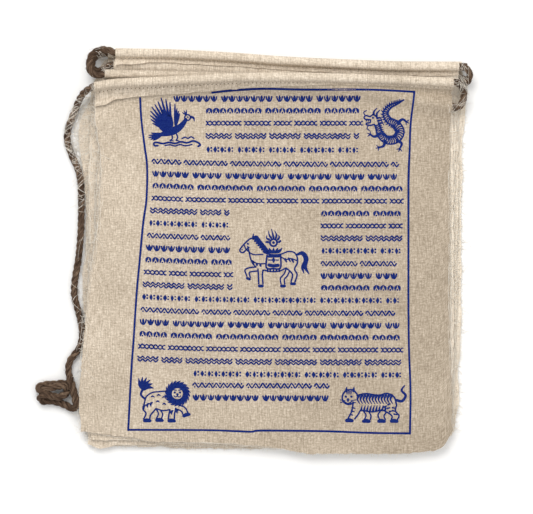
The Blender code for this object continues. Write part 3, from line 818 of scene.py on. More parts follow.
def sew_seam(name, material, hole_shadow_material):
    """A row of stitches along one seam, with a disc of painted shadow for each needle hole."""
    on, after = seam_line(name)
    line = 0.7 * on + 0.3 * after
    run = run_along(line)
    needle = random.Random(int(name[-1]) * 7)
    stitch_points, stitch_faces, stitch_places = [], [], []
    hole_shadow_points, hole_shadow_faces = [], []
    place = FIRST_STITCH
    while place < run[-1] - STITCH:
        length = STITCH_LENGTH * needle.uniform(0.9, 1.1)
        waver = needle.uniform(-STITCH_WAVER, STITCH_WAVER)
        path = point_on(line, run, (place, place + length / 2, place + length))
        path[:, 1] += waver
        path[:, 2] += (-STITCH_SUNK, 0.5 * STITCH_RADIUS, -STITCH_SUNK)
        tube_rings(path, np.array(STITCH_TAPER) * STITCH_RADIUS, STITCH_SIDES, stitch_points, stitch_faces,
                   stitch_places, np.array([0.0, 0.5, 1.0]) * length)
        # Each needle hole is a flat dark disc lying just over the cloth: painted shadow in place of a real
        # hole.
        centre = point_on(line, run, place + length + (STITCH - length) / 2) + (0.0, waver, HOLE_SHADOW_LIFT)
        first = len(hole_shadow_points)
        for corner in range(HOLE_SHADOW_CORNERS):
            angle = corner * 2 * math.pi / HOLE_SHADOW_CORNERS
            around = np.array([math.cos(angle), HOLE_SHADOW_STRETCH * math.sin(angle), 0.0])
            hole_shadow_points.append(centre + HOLE_SHADOW_RADIUS * around)
        hole_shadow_faces.append(tuple(range(first, first + HOLE_SHADOW_CORNERS)))
        place += STITCH
    for piece_name, points, faces, finish, places in (
        (name + "_stitches", stitch_points, stitch_faces, material, stitch_places),
        (name + "_needle_hole_shadows", hole_shadow_points, hole_shadow_faces, hole_shadow_material, None),
    ):
        piece = make_mesh(piece_name, points, faces, finish, places)
        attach(piece, "root")


sewing = Finish("sewing_thread", THREAD_WHITE, 0.85)
twist = sewing.wave(sewing.part(sewing.place("place"), "X") * 9.0)
sewing.feed("Base Color", sewing.ramp(twist * 0.5 + 0.5, [(0.2, THREAD_SHADE), (0.8, THREAD_WHITE)]))
# Painted shadow: the needle holes' colour is the dark of the shade inside them, with a little mottle.
needle_hole_shadow = Finish("needle_hole_shadow", HOLE_SHADOW_DARK, 0.95)
hole_shade = needle_hole_shadow.grain(needle_hole_shadow.node("ShaderNodeTexCoord", {}, {}, "Object"), 900.0)
needle_hole_shadow.feed("Base Color", needle_hole_shadow.ramp(hole_shade, [(0.3, HOLE_SHADOW_DARK), (0.7, HOLE_SHADOW_LIGHT)]))
for flag_name in sorted(flag_objects):
    sew_seam(flag_name, sewing.material, needle_hole_shadow.material)

# The raw edges: the flags are torn to size, so cross threads stick out of their sides, loosened
# threads run along them, and long ends are caught round the cord and in its loops.
FRAY_RADIUS = 0.12
FRAY_SIDES = 3
FRAY_STEP = 0.75
FRAY_ROOT = 0.6
FRAY_LOWEST = 0.16
LONG_SHARE = 0.06
LONG_LENGTHS = (3.5, 8.0)
FOOT_STEP = 0.42
FOOT_ROOT = 0.5
RIM_THREADS = 9
RIM_LENGTHS = (25, 120)
RIM_STEP = 1.8
RIM_DRIFT = 0.9
RIM_LIFT = 0.38
THREAD_SINK = 0.35
THREAD_SHAKE = 0.05
FOOT_THREADS = 7
FRAY_PALE = (0.95, 0.91, 0.83)
FRAY_TONE = (0.72, 0.64, 0.53)


def add_thread(path, lists, chance):
    """Adds one thin thread along a path, tapered to its free end."""
    path = np.array(path)
    path[:, 2] = np.maximum(path[:, 2], FRAY_LOWEST)
    radii = FRAY_RADIUS * chance.uniform(0.7, 1.25) * np.linspace(1.0, 0.55, len(path))
    tube_rings(path, radii, FRAY_SIDES, *lists, run_along(path) + chance.uniform(0, 500))


def wandering(start, heading, length, wild, chance, level, steps):
    """A loose thread's path: it sets out on a heading and drifts, and sinks towards its level."""
    points = [np.array(start, float)]
    turn = math.atan2(heading[1], heading[0])
    for _ in range(steps):
        turn += chance.gauss(0, wild)
        stride = length / steps
        point = points[-1] + stride * np.array([math.cos(turn), math.sin(turn), 0.0])
        point[2] += THREAD_SINK * (level - point[2])
        point[2] += chance.gauss(0, THREAD_SHAKE)
        points.append(point)
    return points


def add_rim_thread(edge, run, outward, off, lists, chance):
    """A thread loosened from the weave, which runs along an edge."""
    begin = chance.uniform(0, run[-1] * 0.75)
    places = np.arange(begin, min(run[-1], begin + chance.uniform(*RIM_LENGTHS)), RIM_STEP)
    if len(places) < 4:
        return
    path = point_on(edge, run, places)
    for place, point in zip(places, path):
        drift = off + RIM_DRIFT * noise.noise(Vector((place * 0.11, off * 9.0, outward[0])))
        point += drift * np.array(outward)
        point[2] += RIM_LIFT if drift < 0.1 else -0.1
    add_thread(path, lists, chance)


def fray_edges(name, chance, lists):
    """The loose threads along a flag's two sides and its lower edge."""
    rows = flag_middles[name]
    body = rows[HEM_ROWS:]
    for edge, outward in ((body[:, 0], -1.0), (body[:, -1], 1.0)):
        run = run_along(edge)
        place = 0.5
        while place < run[-1]:
            root = point_on(edge, run, place)
            root[0] -= outward * FRAY_ROOT
            long_one = chance.random() < LONG_SHARE
            length = chance.uniform(*LONG_LENGTHS) if long_one else 0.8 + chance.expovariate(1.1)
            path = wandering(root, (outward, chance.gauss(0, 0.35)), length + FRAY_ROOT,
                             0.35 if long_one else 0.22, chance, max(root[2] - 0.6, 0.3), 6 if long_one else 3)
            add_thread(path, lists, chance)
            place += chance.uniform(0.4, 1.6) * FRAY_STEP
        for _ in range(RIM_THREADS):
            add_rim_thread(edge, run, (outward, 0.0, 0.0), chance.uniform(-1.6, 1.0), lists, chance)
    foot = body[-1]
    run = run_along(foot)
    for _ in range(FOOT_THREADS):
        add_rim_thread(foot, run, (0.0, -1.0, 0.0), chance.uniform(-0.8, 0.7), lists, chance)
    for column in np.arange(0, len(foot) - 1, FOOT_STEP):
        spot = int(column)
        root = foot[spot] + (column - spot) * (foot[spot + 1] - foot[spot])
        root = root + np.array([0.0, FOOT_ROOT, 0.0])
        length = 1.0 + chance.expovariate(1.6)
        path = wandering(root, (chance.gauss(0, 0.35), -1.0), length, 0.25, chance,
                         max(root[2] - 0.4, 0.3), 3)
        add_thread(path, lists, chance)


def finish_threads(name, lists):
    """One piece from the threads that lie in the lists."""
    piece = make_mesh(name, lists[0], lists[1], fray.material, lists[2])
    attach(piece, "root")


fray = Finish("frayed_cotton", FRAY_PALE, 0.9)
fray_tone = fray.grain(fray.stretched(fray.place("place"), (0.08, 0.4, 0.0)), 1.0, 2.0)
fray.feed("Base Color", fray.ramp(fray_tone, [(0.35, FRAY_TONE), (0.6, FRAY_PALE)]))
for flag_name in flag_objects:
    threads = ([], [], [])
    fray_edges(flag_name, random.Random(int(flag_name[-1]) * 13), threads)
    finish_threads(flag_name + "_fray", threads)

# The long tangled ends: at the left they zigzag over the cord and web the gap beside it, and at the
# right they lie over the cord's loops.
LACING = [
    {"along": (97, 84), "count": 2, "reach": (2, 9)},
    {"along": (88, 62), "count": 4, "reach": (2, 10)},
    {"along": (66, 44), "count": 3, "reach": (1.5, 8)},
    {"along": (46, 24), "count": 2, "reach": (1.5, 7)},
    {"along": (-22, -44), "count": 1, "reach": (1, 3)},
]
LACE_OUT = 2.5
WEB_THREADS = 320
WEB = {"high": 103.0, "low": 56.0, "clear": 1.9, "out": 13.0, "flag": -109.0, "stride": 1.5}
LOOSE_ENDS = [
    {"from": (116.6, 116.5), "to": (119.2, 103), "count": 56, "length": (3, 8), "heading": -1.25},
    {"from": (110.5, 106), "to": (117, 88), "count": 20, "length": (3, 8), "heading": 0.6},
    {"from": (111, 90), "to": (113.5, 76), "count": 24, "length": (3, 6.5), "heading": 0.85},
    {"from": (-108, 125), "to": (-104, 112), "count": 34, "length": (2.5, 7), "heading": -0.7},
    {"from": (-112, 86), "to": (-113, 20), "count": 34, "length": (8, 26), "heading": -1.5},
    {"from": (-113, 20), "to": (-117, -80), "count": 24, "length": (8, 24), "heading": -1.6},
]
LOOSE_STRIDE = 1.8
LOOSE_LIMIT = 122.0
THREAD_LIFT = 0.14
THREAD_STEP = 0.8
LOOK_DOWN_FROM = 0.1

depsgraph = bpy.context.evaluated_depsgraph_get()
lying_pieces = [BVHTree.FromObject(piece, depsgraph)
                for piece in (*flag_objects.values(), cord_rope, knot_rope)]
tie_rows = sorted((y, x) for x, y, _ in TIE)


def top_at(x, y, pieces):
    """Height of the topmost face of some pieces at a place, or the table."""
    hits = [piece.ray_cast(Vector((x * MM, y * MM, LOOK_DOWN_FROM)), Vector((0.0, 0.0, -1.0)))[0]
            for piece in pieces]
    return max([hit.z / MM for hit in hits if hit], default=0.0)


def lie_down(points, lists, chance, thickness, bridge=0.35):
    """Adds a thread that lies on whatever is under it and spans the hollows between."""
    path = curve_points(points, THREAD_STEP)
    path[:, 2] = [top_at(x, y, lying_pieces) + THREAD_LIFT for x, y, _ in path]
    for _ in range(3):
        level = np.convolve(np.pad(path[:, 2], 2, mode="edge"), np.ones(5) / 5, mode="valid")
        path[:, 2] = np.maximum(path[:, 2], bridge * path[:, 2] + (1 - bridge) * level)
    radii = FRAY_RADIUS * thickness * chance.uniform(0.8, 1.2) * np.linspace(1.0, 0.6, len(path))
    tube_rings(path, radii, FRAY_SIDES, *lists, run_along(path) + chance.uniform(0, 500))


def tie_at(y):
    """Where the tie's middle line is at a height of the flag."""
    return np.interp(y, [row[0] for row in tie_rows], [row[1] for row in tie_rows])


threads = ([], [], [])
snarl = random.Random(97)
for lace in LACING:
    for _ in range(lace["count"]):
        y = lace["along"][0] + snarl.uniform(-2, 2)
        outside = snarl.random() < 0.5
        points = []
        while y > lace["along"][1] - 2:
            off = -LACE_OUT * snarl.uniform(0.5, 1.0) if outside else snarl.uniform(*lace["reach"])
            points.append((tie_at(y) + off, y, 0.0))
            outside = not outside
            y -= snarl.uniform(1.0, 8.0)
        if len(points) > 3:
            lie_down(points, threads, snarl, 1.35)
for _ in range(WEB_THREADS):
    y = snarl.uniform(WEB["low"], WEB["high"])
    cord_x = tie_at(y)
    edge_x = min(cord_x + WEB["out"], WEB["flag"])
    x = snarl.uniform(cord_x + WEB["clear"], edge_x)
    turn = snarl.uniform(0, 2 * math.pi)
    points = [(x, y, 0.0)]
    for _ in range(snarl.randrange(4, 7)):
        turn += snarl.gauss(0, 0.7)
        x = min(max(x + WEB["stride"] * math.cos(turn), cord_x + WEB["clear"]), edge_x)
        y += WEB["stride"] * math.sin(turn)
        points.append((x, y, 0.0))
    lie_down(points, threads, snarl, 0.6, 0.2)
for ends in LOOSE_ENDS:
    for _ in range(ends["count"]):
        share = snarl.random()
        x = ends["from"][0] + share * (ends["to"][0] - ends["from"][0]) + snarl.gauss(0, 1.3)
        y = ends["from"][1] + share * (ends["to"][1] - ends["from"][1]) + snarl.gauss(0, 1.0)
        turn = ends["heading"] + snarl.gauss(0, 0.4)
        steps = max(3, round(snarl.uniform(*ends["length"]) / LOOSE_STRIDE))
        points = [(x, y, 0.0)]
        for _ in range(steps):
            turn += snarl.gauss(0, 0.16)
            x = min(x + LOOSE_STRIDE * math.cos(turn), LOOSE_LIMIT)
            y += LOOSE_STRIDE * math.sin(turn)
            points.append((x, y, 0.0))
        lie_down(points, threads, snarl, 0.95)
finish_threads("tangled_threads", threads)

# The fuzz of the cord: short brown jute fibres that the twisting left sticking out of its strands.
# They are grown on the stretches that lie open, at both sides of the flags and on the knot.
FIBRE_RADIUS = 0.055
FIBRE_REACH = 3.2
FIBRE_TAPER = (1.0, 0.8, 0.5)
FIBRE_SHORTEST = 0.6
FIBRE_LEAN = (0.15, 0.9)
FIBRE_LOWEST = 0.1
FIBRES = 2400
KNOT_FIBRES = 900
OPEN_CORD = (-104, 113)


def grow_fibres(name, route, count, thickness, chance):
    """Fibres that stand off a rope of a given thickness, each leaning one way along it."""
    across, over = frames_along(route)
    points, faces, places = [], [], []
    for _ in range(count):
        k = chance.randrange(2, len(route) - 3)
        angle = chance.uniform(0, 2 * math.pi)
        out = math.cos(angle) * across[k] + math.sin(angle) * over[k]
        head = (route[k + 1] - route[k]) * chance.choice((-1.0, 1.0))
        head = head / np.linalg.norm(head)
        length = min(FIBRE_SHORTEST + chance.expovariate(1.0), FIBRE_REACH)
        start = route[k] + out * thickness * 0.85
        lean = chance.uniform(*FIBRE_LEAN)
        path = [start, start + (head + lean * out) * length * 0.4,
                start + (head + 0.5 * lean * out) * length * 0.75
                + 0.12 * length * np.array([chance.gauss(0, 1), chance.gauss(0, 1), 0.0])]
        path = np.array(path)
        path[:, 2] = np.maximum(path[:, 2], FIBRE_LOWEST)
        tube_rings(path, FIBRE_RADIUS * np.array(FIBRE_TAPER), 3, points, faces, places,
                   np.array([0.0, 0.4, 0.8]) * length + chance.uniform(0, 300))
    piece = make_mesh(name, points, faces, jute.material, places)
    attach(piece, "root")


open_cord = (cord_path[:, 0] < OPEN_CORD[0]) | (cord_path[:, 0] > OPEN_CORD[1])
grow_fibres("cord_fuzz", cord_path[open_cord], FIBRES, STRAND + STRAND_OFFSET, random.Random(5))
grow_fibres("knot_fuzz", knot_path, KNOT_FIBRES, (STRAND + STRAND_OFFSET) * KNOT_SWELL, random.Random(6))

# The print: plain blue ink on the top flag, pressed on by hand from one carved block. A line frames
# it, with a horse in the middle, a beast in each corner and rows of small repeated ornament between.
BLOCK_STEP = PIXEL
BLOCK_ORIGIN = (271.5, 251.5)
INK_LIFT = 0.07
INK = (0.0015, 0.009, 0.125)
INK_WORN = (0.02, 0.05, 0.2)
FRAME_LINES = [
    [(212, 93), (224, 91.6), (242, 90.2), (266, 89.3), (306, 90.2), (360, 90.2), (385, 90.8), (414, 92.2)],
    [(414, 91.8), (412, 110), (410.4, 126), (409.6, 150), (408.6, 177), (408.4, 205), (408.6, 330),
     (410.4, 390), (410, 433.8)],
    [(410, 433.4), (371, 432.9), (323, 431.2), (262, 430.6), (252, 431.7), (236, 431.2), (207, 430.2),
     (128, 429.8)],
    [(128.2, 430.2), (131.5, 369), (133.7, 339), (136.6, 294), (139.5, 263), (143, 225), (146.4, 200),
     (147.2, 175), (146.6, 160), (145, 149), (142.3, 128), (141, 114), (140.2, 98)],
]
FRAME_WIDTH = 2.1
FRAME_STEP = 1.4
BRUSH_STEP = 1.1
ROUND_END = {"reach": 0.38, "width": 0.5}

# A stroke is its width, or its widths from start to end, and the points that it runs through, in
# steps of the block to the right and down from the middle of its beast.
CIRCLE = [(math.cos(math.radians(angle)), math.sin(math.radians(angle))) for angle in range(0, 361, 24)]
HORSE = [
    (1.5, [(-11, -5.4), (-4, -3.4), (5, -3.6), (13, -6.4), (19.4, -5.4), (22.4, -0.6)]),
    (1.5, [(-27.4, -11.6), (-25.8, -5.6), (-24.6, 0), (-22.6, 5), (-19, 9)]),
    (1.5, [(-12, 12), (-3, 13.6), (5, 12.8), (11, 10)]),
    (1.6, [(22.4, -0.6), (22.4, 5), (19.6, 11), (22, 16.6), (20, 24)]),
    (1.6, [(11, 10), (14.8, 13), (17.6, 17), (16, 24)]),
    (1.5, [(11.4, 10.6), (9, 16), (5.4, 20.4), (6, 26)]),
    (1.5, [(14.4, 13.6), (12.2, 18), (9.4, 21.4), (9.8, 26)]),
    (1.6, [(-12, 12), (-12.6, 18), (-12, 26)]),
    (1.6, [(-17, 11), (-16.6, 18), (-16.2, 26)]),
    (1.5, [(-19, 9), (-25, 9.6), (-30, 12), (-28, 18.4)]),
    (1.5, [(-18, 13), (-23, 13.6), (-25.8, 14.8), (-24.6, 19.4)]),
    *[(3.0, [(x, y), (x + 3.6, y)]) for x, y in ((-16, 28), (6.2, 28), (16.2, 25.8))],
    (2.8, [(-28, 20.2), (-25.2, 21.2)]),
    (1.6, [(-20.4, -19), (-24.4, -19.4), (-29.4, -15.4), (-34.4, -9.6), (-35, -6.8), (-32, -5.4),
           (-28.8, -8.4), (-26, -10.6)]),
    (2.0, [(-27.4, -14.4), (-26.8, -14)]),
    (1.3, [(-33, -8.4), (-32.6, -8.2)]),
    (1.3, [(-31, -13.6), (-29, -8.4)]),
    (1.3, [(-29, -8.6), (-22, -3.6), (-12, -3.6)]),
    (1.3, [(-24.4, 1.4), (-18, 5.4), (-10, 5.6)]),
    *[(2.0, [(x, y), (x + 0.4, y + 1.6)]) for x, y in ((-21.8, 3.6), (-18.4, 5.6), (-14.8, 6.4))],
    ([2.4, 0.8], [(-22, -19.8), (-21.6, -24.4)]),
    *[([2.2, 4.0, 0.9], [(-22 + 11.6 * t, -19 + 14 * t), (-18.6 + 11.6 * t, -20.6 + 14.6 * t),
                         (-14.8 + 11 * t, -15.6 + 14.4 * t)]) for t in (0, 0.15, 0.3, 0.45, 0.6, 0.75, 0.9)],
    ([2.2, 4.2, 5.0, 4.0, 0.9], [(22, -3.4), (27.4, -4.8), (31, 0.6), (30, 8.6), (34, 16)]),
    ([1.2, 2.8, 0.8], [(29, 3), (27.4, 9.4), (29, 15.4)]),
    (1.8, [(-8, -2.8), (-8.6, 9.6), (-1.6, 10.6), (5.4, 9.8), (5.6, -3)]),
    (3.4, [(-6.2, 7), (-1.6, 7.8), (3.4, 7.2)]),
    (2.6, [(-6.4, -1.6), (3.8, -1.8)]),
    ([0.8, 3.4, 0.8], [(-1.5, -0.4), (-1.5, 2), (-1.5, 4.6)]),
    *[(1.7, [(x, 2), (x + 0.4, 2)]) for x in (-6, -4.2, 1, 2.8)],
    *[(1.6, [(x, 11.8), (x, 13.6)]) for x in (-7.6, -4.6, -1.6, 1.4, 4.4)],
    *[([2.4, 1.4], [(x, y), (x + 1.6, y + 3)]) for x, y in ((10, 1), (13.6, 0.4), (17, 1.4))],
    (1.3, [(6, -1), (11, 1.4), (16, 0.6), (21.6, 2.4)]),
    *[([1.2, 3.2, 0.8], [(-1.5 + 0.6 * s, -5), (-1.5 + 3.4 * s, -6.6), (-1.5 + 5.4 * s, -10)])
      for s in (-1.6, -0.8, 0, 0.8, 1.6)],
    (2.0, [(-1.5 + 3.6 * x, -15.4 + 3.6 * y) for x, y in CIRCLE]),
    (2.8, [(-1.8, -15.4), (-1.2, -15.4)]),
    *[([2.4, 1.6, 0.7], [(-1.5 + 5.4 * math.cos(a), -15.4 - 5.4 * math.sin(a)),
                         (-1.5 + 7.8 * math.cos(a + 0.1), -15.8 - 8.4 * math.sin(a + 0.1)),
                         (-1.5 + 7.2 * math.cos(a + 0.3), -16 - (9 + 4 * math.sin(a)) * math.sin(a))])
      for a in (0.1, 0.6, 1.1, 1.57, 2.04, 2.54, 3.04)],
]
LION_FACE = (12.4, -6.4)
LION = [
    (1.5, [(2, -9), (-6, -8.4), (-13, -7.4), (-18.6, -3.4), (-20.6, 3)]),
    (1.5, [(5, 9.6), (-2, 10.6), (-9, 8.6)]),
    (1.6, [(-20.6, 3), (-22, 9), (-19, 13.4), (-21.4, 19)]),
    (1.6, [(-9, 8.6), (-12.4, 12.6), (-14.6, 15.4), (-15.2, 19)]),
    (1.5, [(-9, 8.6), (-6.6, 13.6), (-8.6, 18.6)]),
    (1.5, [(-4.6, 10.2), (-2.4, 14), (-3.6, 18.6)]),
    (1.6, [(5, 9.6), (4, 14), (3.4, 19)]),
    (1.6, [(10.8, 8), (9.6, 14), (9.4, 19)]),
    (1.5, [(14, 5), (20, 7.6), (23, 12.8)]),
    (1.5, [(11.4, 9), (16.4, 11.2), (18, 14.6)]),
    *[([3.6, 4.2, 3.0], [(x, y), (x + 3, y - 0.3), (x + 6, y + 0.3)])
      for x, y in ((-20.6, 20.6), (-8.4, 20.2), (3.8, 20.8))],
    ([3.4, 4.0, 2.8], [(18.6, 16), (21.6, 14.6), (24.6, 14.4)]),
    *[([1.4, 2.6, 0.8], [(x, y), (x - 1.8, y + 1.4), (x - 1.4, y + 4)])
      for x, y in ((-19.4, 5), (-16, 3.4), (-12.6, 2.4), (13.6, 9.4), (8, 10.6))],
    *[([0.8, 1.8, 0.8], [(x, y), (x + 1.8, y - 1), (x + 3.4, y + 0.2)])
      for x, y in ((-14, -3), (-8, -4.4), (-9, 2), (-2.6, -2.4), (-2.6, 4.4))],
    ([2.2, 2.2, 2.6], [(-19.8, -1), (-24, -5.4), (-22.4, -10.6)]),
    *[([2.6, 3.6, 0.9], [(-21.6, -10.4), (-21.6 + 5 * math.cos(angle), -11.4 - 5 * math.sin(angle)),
                         (-21.6 + 10 * math.cos(angle - 0.25), -11.4 - 11.4 * math.sin(angle - 0.25))])
      for angle in (0.3, 0.7, 1.1, 1.5, 1.9, 2.3)],
]
TIGER = [
    (1.7, [(-15, -8.6), (-6, -10.4), (6, -8.8), (15, -10.6), (22, -7), (24.6, 1)]),
    (1.6, [(-11.4, 6), (0, 7.8), (10, 5.8)]),
    (1.7, [(-14.6, -9.4), (-19, -14), (-26, -13.4), (-29.6, -8), (-28.8, -2.6), (-24, 0.4), (-18.4, -1)]),
    *[([2.8, 1.2], [(x, -13), (x + 0.6, -16.6)]) for x in (-26, -18.6)],
    *[(2.2, [(x, -7.6), (x + 0.8, -7.2)]) for x in (-26.6, -21)],
    ([3.0, 1.2], [(-24, -4.6), (-24, -2.4)]),
    (1.2, [(-27, -1.8), (-24, -0.6), (-21, -1.8)]),
    *[([1.8, 0.8], [(x, -12.6), (x * 0.96 - 1, -9.6)]) for x in (-25, -23, -21)],
    *[(0.9, [(-24 + 3 * s, -3.4), (-24 + 8 * s, -4.2)]) for s in (-1, 1)],
    *[(0.9, [(-24 + 3 * s, -2.6), (-24 + 7.6 * s, -1.4)]) for s in (-1, 1)],
    (1.6, [(-19, 0.4), (-20.6, 8), (-24, 14.6)]),
    (1.6, [(-11.4, 6), (-14, 10.6), (-17.4, 15)]),
    (1.5, [(-9, 6.6), (-6, 11), (-7.6, 15.6)]),
    (1.5, [(-3, 7.6), (-1, 12), (-1.8, 15.6)]),
    (1.6, [(24.6, 1), (23.4, 7), (27, 11.6), (25.4, 15.6)]),
    (1.6, [(10, 5.8), (15.4, 8.4), (20, 12), (19.4, 15.6)]),
    (1.5, [(9, 6.2), (6, 11), (7.6, 15.6)]),
    (1.5, [(14, 8.6), (12, 12), (13.4, 15.6)]),
    *[([3.6, 4.2, 3.4], [(x, y), (x + 3, y - 0.4), (x + 6, y + 0.2)])
      for x, y in ((-25.6, 16.6), (-8.6, 17.2), (6.6, 17.2), (19.2, 17.2))],
    ([2.8, 2.8, 2.6, 2.2, 1.4], [(24, -4), (30, -3), (33.6, -8.6), (29.6, -13.6), (32.4, -18.4)]),
    *[([2.8, 1.8, 0.8], [(x, -8.8), (x - 1.6, -4.8), (x + 0.6, -0.4)]) for x in range(-13, 23, 3)],
    *[([2.4, 0.9], [(x, 6.4), (x + 1.2, 1.6)]) for x in range(-11, 14, 3)],
    *[([2.0, 0.9], [(x, y), (x + 3, y + 0.8)])
      for x, y in ((-19.8, 3.6), (-20.6, 7), (-22, 10.4), (20.6, 3.6), (20.4, 6.6), (22, 10))],
    *[([2.2, 0.9], [(x, y), (x + 2.6, y - 0.8)]) for x, y in ((12, 3), (15.4, 4.4), (17.6, 7.6), (16, 0.6))],
]
# The bird's feathers: each fan spreads from its root, with a feather's reach by its angle.
WINGS = [
    {"root": (-3, 7), "angles": (92, 160), "feathers": 10, "width": 2.5,
     "reach": [(92, 28), (104, 33), (116, 32), (128, 30), (142, 27), (160, 20)]},
    {"root": (-3, 7), "angles": (92, 168), "feathers": 8, "width": 5.2,
     "reach": [(92, 15), (112, 21), (168, 12)]},
    {"root": (1, 5), "angles": (72, 90), "feathers": 4, "width": 2.2, "reach": [(72, 15), (90, 23)]},
    {"root": (-10, 10), "angles": (180, 214), "feathers": 5, "width": 2.2,
     "reach": [(180, 13), (196, 16), (214, 13)]},
]
BIRD_HEAD = (13.6, -5.4)
BIRD = [
    ([3.0, 6.6, 7.8, 6.4, 4.6, 3.6], [(-14, 12), (-8, 10), (-1, 8), (5.6, 4.4), (10, -0.4), (12, -3.6)]),
    (1.5, [(BIRD_HEAD[0] + 2.9 * x, BIRD_HEAD[1] + 2.9 * y) for x, y in CIRCLE]),
    (1.6, [(13.6, -5.8), (14, -5.8)]),
    ([2.8, 2.2, 0.8], [(16.8, -6), (19.6, -5), (20.4, -1.8)]),
    *[([2.0, 0.7], [(12.2, -8), (x, y)]) for x, y in ((8.4, -10.4), (10, -12.4), (12.8, -13))],
    (1.5, [(-2, 12), (-1.6, 15.4), (-3.6, 17.6)]),
    (1.5, [(2.4, 10.6), (3.6, 14.4), (2.4, 17)]),
    *[([1.6, 0.8], [(x, 17.2), (x + 3.6, 18)]) for x in (-4, 2)],
    (2.0, [(-16, 22.6), (-19.6, 22.6), (-20, 20), (-17, 19.4), (-11, 20.6), (-5, 19.4), (1, 20.4),
           (7, 18.8), (13, 19.8), (19, 18), (24, 19.6), (26.4, 22), (24, 23.4)]),
    (1.5, [(-9, 22.6), (-4, 21.8), (1, 23), (6, 21.6), (12, 22.8), (18, 21.4)]),
    (1.5, [(8, 15.6), (11, 14.2), (14, 15.4), (17, 13.8), (20, 15.4)]),
]
# The dragon's body from the tip of its tail to its neck: x, y and width.
DRAGON_BODY = [(15.4, -25.6, 0.8), (9, -22.4, 2.6), (1.6, -19, 4.4), (-2.6, -12.6, 5.8), (1, -5.6, 6.8),
               (8.6, -1.4, 7.6), (12.6, 5.8, 7.8), (8.8, 13, 7.6), (0, 14.8, 7.2), (-7.4, 9.6, 6.4),
               (-10, 2, 5.6), (-12.4, -4, 4.8)]
DRAGON = [
    (1.6, [(-10.4, -7.6), (-14.6, -11.4), (-18, -9.4), (-22.4, -10.4), (-24, -8), (-22.4, -6.6),
           (-17.6, -6.2)]),
    (1.6, [(-17.6, -6.2), (-18, -3.4), (-21.6, -2.8), (-22, -1.4), (-17.6, -0.6), (-14.4, -1.4)]),
    *[([1.6, 0.6], [(x, -6.2), (x, -4.4)]) for x in (-21.6, -19.6)],
    (2.0, [(-15.4, -8.2), (-14.8, -8)]),
    *[([2.4, 1.8, 0.8], [(x, y), (x + 0.4, y - 3.4), (x + 3.4, y - 6.6)])
      for x, y in ((-14.4, -11.2), (-11.4, -9.4))],
    *[([2.4, 1.6, 0.7], [(x, y), (x + 3, y - 0.6), (x + 4.8, y + 1.6)])
      for x, y in ((-11, -7.6), (-10.2, -5), (-9, -2.4))],
    (1.1, [(-22.6, -10), (-24.4, -13.4), (-21.6, -15.4)]),
    (1.1, [(-19.4, -0.8), (-21, 2.4), (-18.6, 4.6)]),
]
DRAGON_LEGS = [[(-8, 8), (-13.6, 10.6), (-17.6, 8.6)], [(-2.6, 15), (-4.6, 20), (-9, 21.4)],
               [(9.6, -3), (14.4, -6.6), (18, -4.4)], [(9, 14), (13.6, 17.6), (11.8, 22.6)]]
CLAW = 3.4
SCALE_STEP = 2
MANE_LOCKS = 20
BEASTS = {"horse": (275, 258), "lion": (165, 400), "tiger": (372, 404), "bird": (174, 123),
          "dragon": (388, 126)}

ROWS = 25
ROW_FIRST = 99.0
ROW_STEP = 12.4
ROW_HALF = 4.0
ROW_MARGIN = 5.5
ROW_LEAST = 16.0
ROW_SAG = 3.6
SAG_FROM = 132
SAG_GROWTH = 30
SAG_FOOT = 376
SAG_SIDE = 145
SAG_RUN = 60
KEPT_CLEAR = [(130, 94, 174, 153), (174, 105, 206, 153), (362, 94, 412, 156), (232, 206, 321, 292),
              (128, 374, 193, 430), (334, 378, 412, 430)]
# The repeats of the ornament: the width of each, and its strokes.
REPEATS = [
    (7.4, [([0.9, 3.0, 1.0], [(3, -3.2), (3, -0.8), (3, 1.8)]),
           (1.5, [(0.2, -2.2), (0.8, 0.4), (2.4, 2.4)]), (1.5, [(5.8, -2.2), (5.2, 0.4), (3.6, 2.4)])]),
    (7.2, [(1.6, [(0, 0), (1.8, -2.4), (3.6, 0), (5.4, 2.2), (7.2, 0)]),
           (1.7, [(1.6, 1.6), (2.0, 1.6)]), (1.7, [(5.2, -1.8), (5.6, -1.8)])]),
    (7.0, [([0.8, 3.6, 0.8], [(2.2, -3.2), (2.2, -0.4), (2.2, 2.4)]),
           (1.8, [(5.1, -2), (5.5, -2)]), (1.8, [(5.1, 1), (5.5, 1)])]),
    (5.2, [(1.5, [(0.2, -3), (2.4, -0.8), (4.6, -3)]), (1.5, [(0.2, -0.2), (2.4, 2), (4.6, -0.2)])]),
    (4.4, [(1.4, [(0, -2.4), (1.2, -1.6), (2.2, 0.4), (3.4, 1.4), (4.4, 1.2)]),
           (1.4, [(0, 1.4), (1.2, 0.6), (2.2, -1.4), (3.4, -2.4), (4.4, -2.4)])]),
    (7.0, [([0.8, 2.8, 0.8], [(0.8, 1.8), (1.3, -1), (2.8, -3.2)]),
           ([0.8, 2.8, 0.8], [(5.6, 1.8), (5.1, -1), (3.6, -3.2)]), (1.7, [(3, 1.4), (3.4, 1.4)])]),
]
REPEATS_IN_RUN = (4, 9)
RUN_GAP = 3.2
ROW_BRUSH_STEP = 1.6
HAND_SHAKE = 0.15
HAND_PRESS = (0.85, 1.15)

print_ground = BVHTree.FromObject(flag_objects["flag_1"], depsgraph)


def print_place(points):
    """Points of the printing block on the flag, in millimetres."""
    points = np.asarray(points, float)
    return np.stack([(points[:, 0] - BLOCK_ORIGIN[0]) * BLOCK_STEP,
                     (BLOCK_ORIGIN[1] - points[:, 1]) * BLOCK_STEP], axis=1)


def on_flag(x, y):
    """The point of the top flag's face under a place of the print."""
    return (x, y, top_at(x, y, [print_ground]) + INK_LIFT)


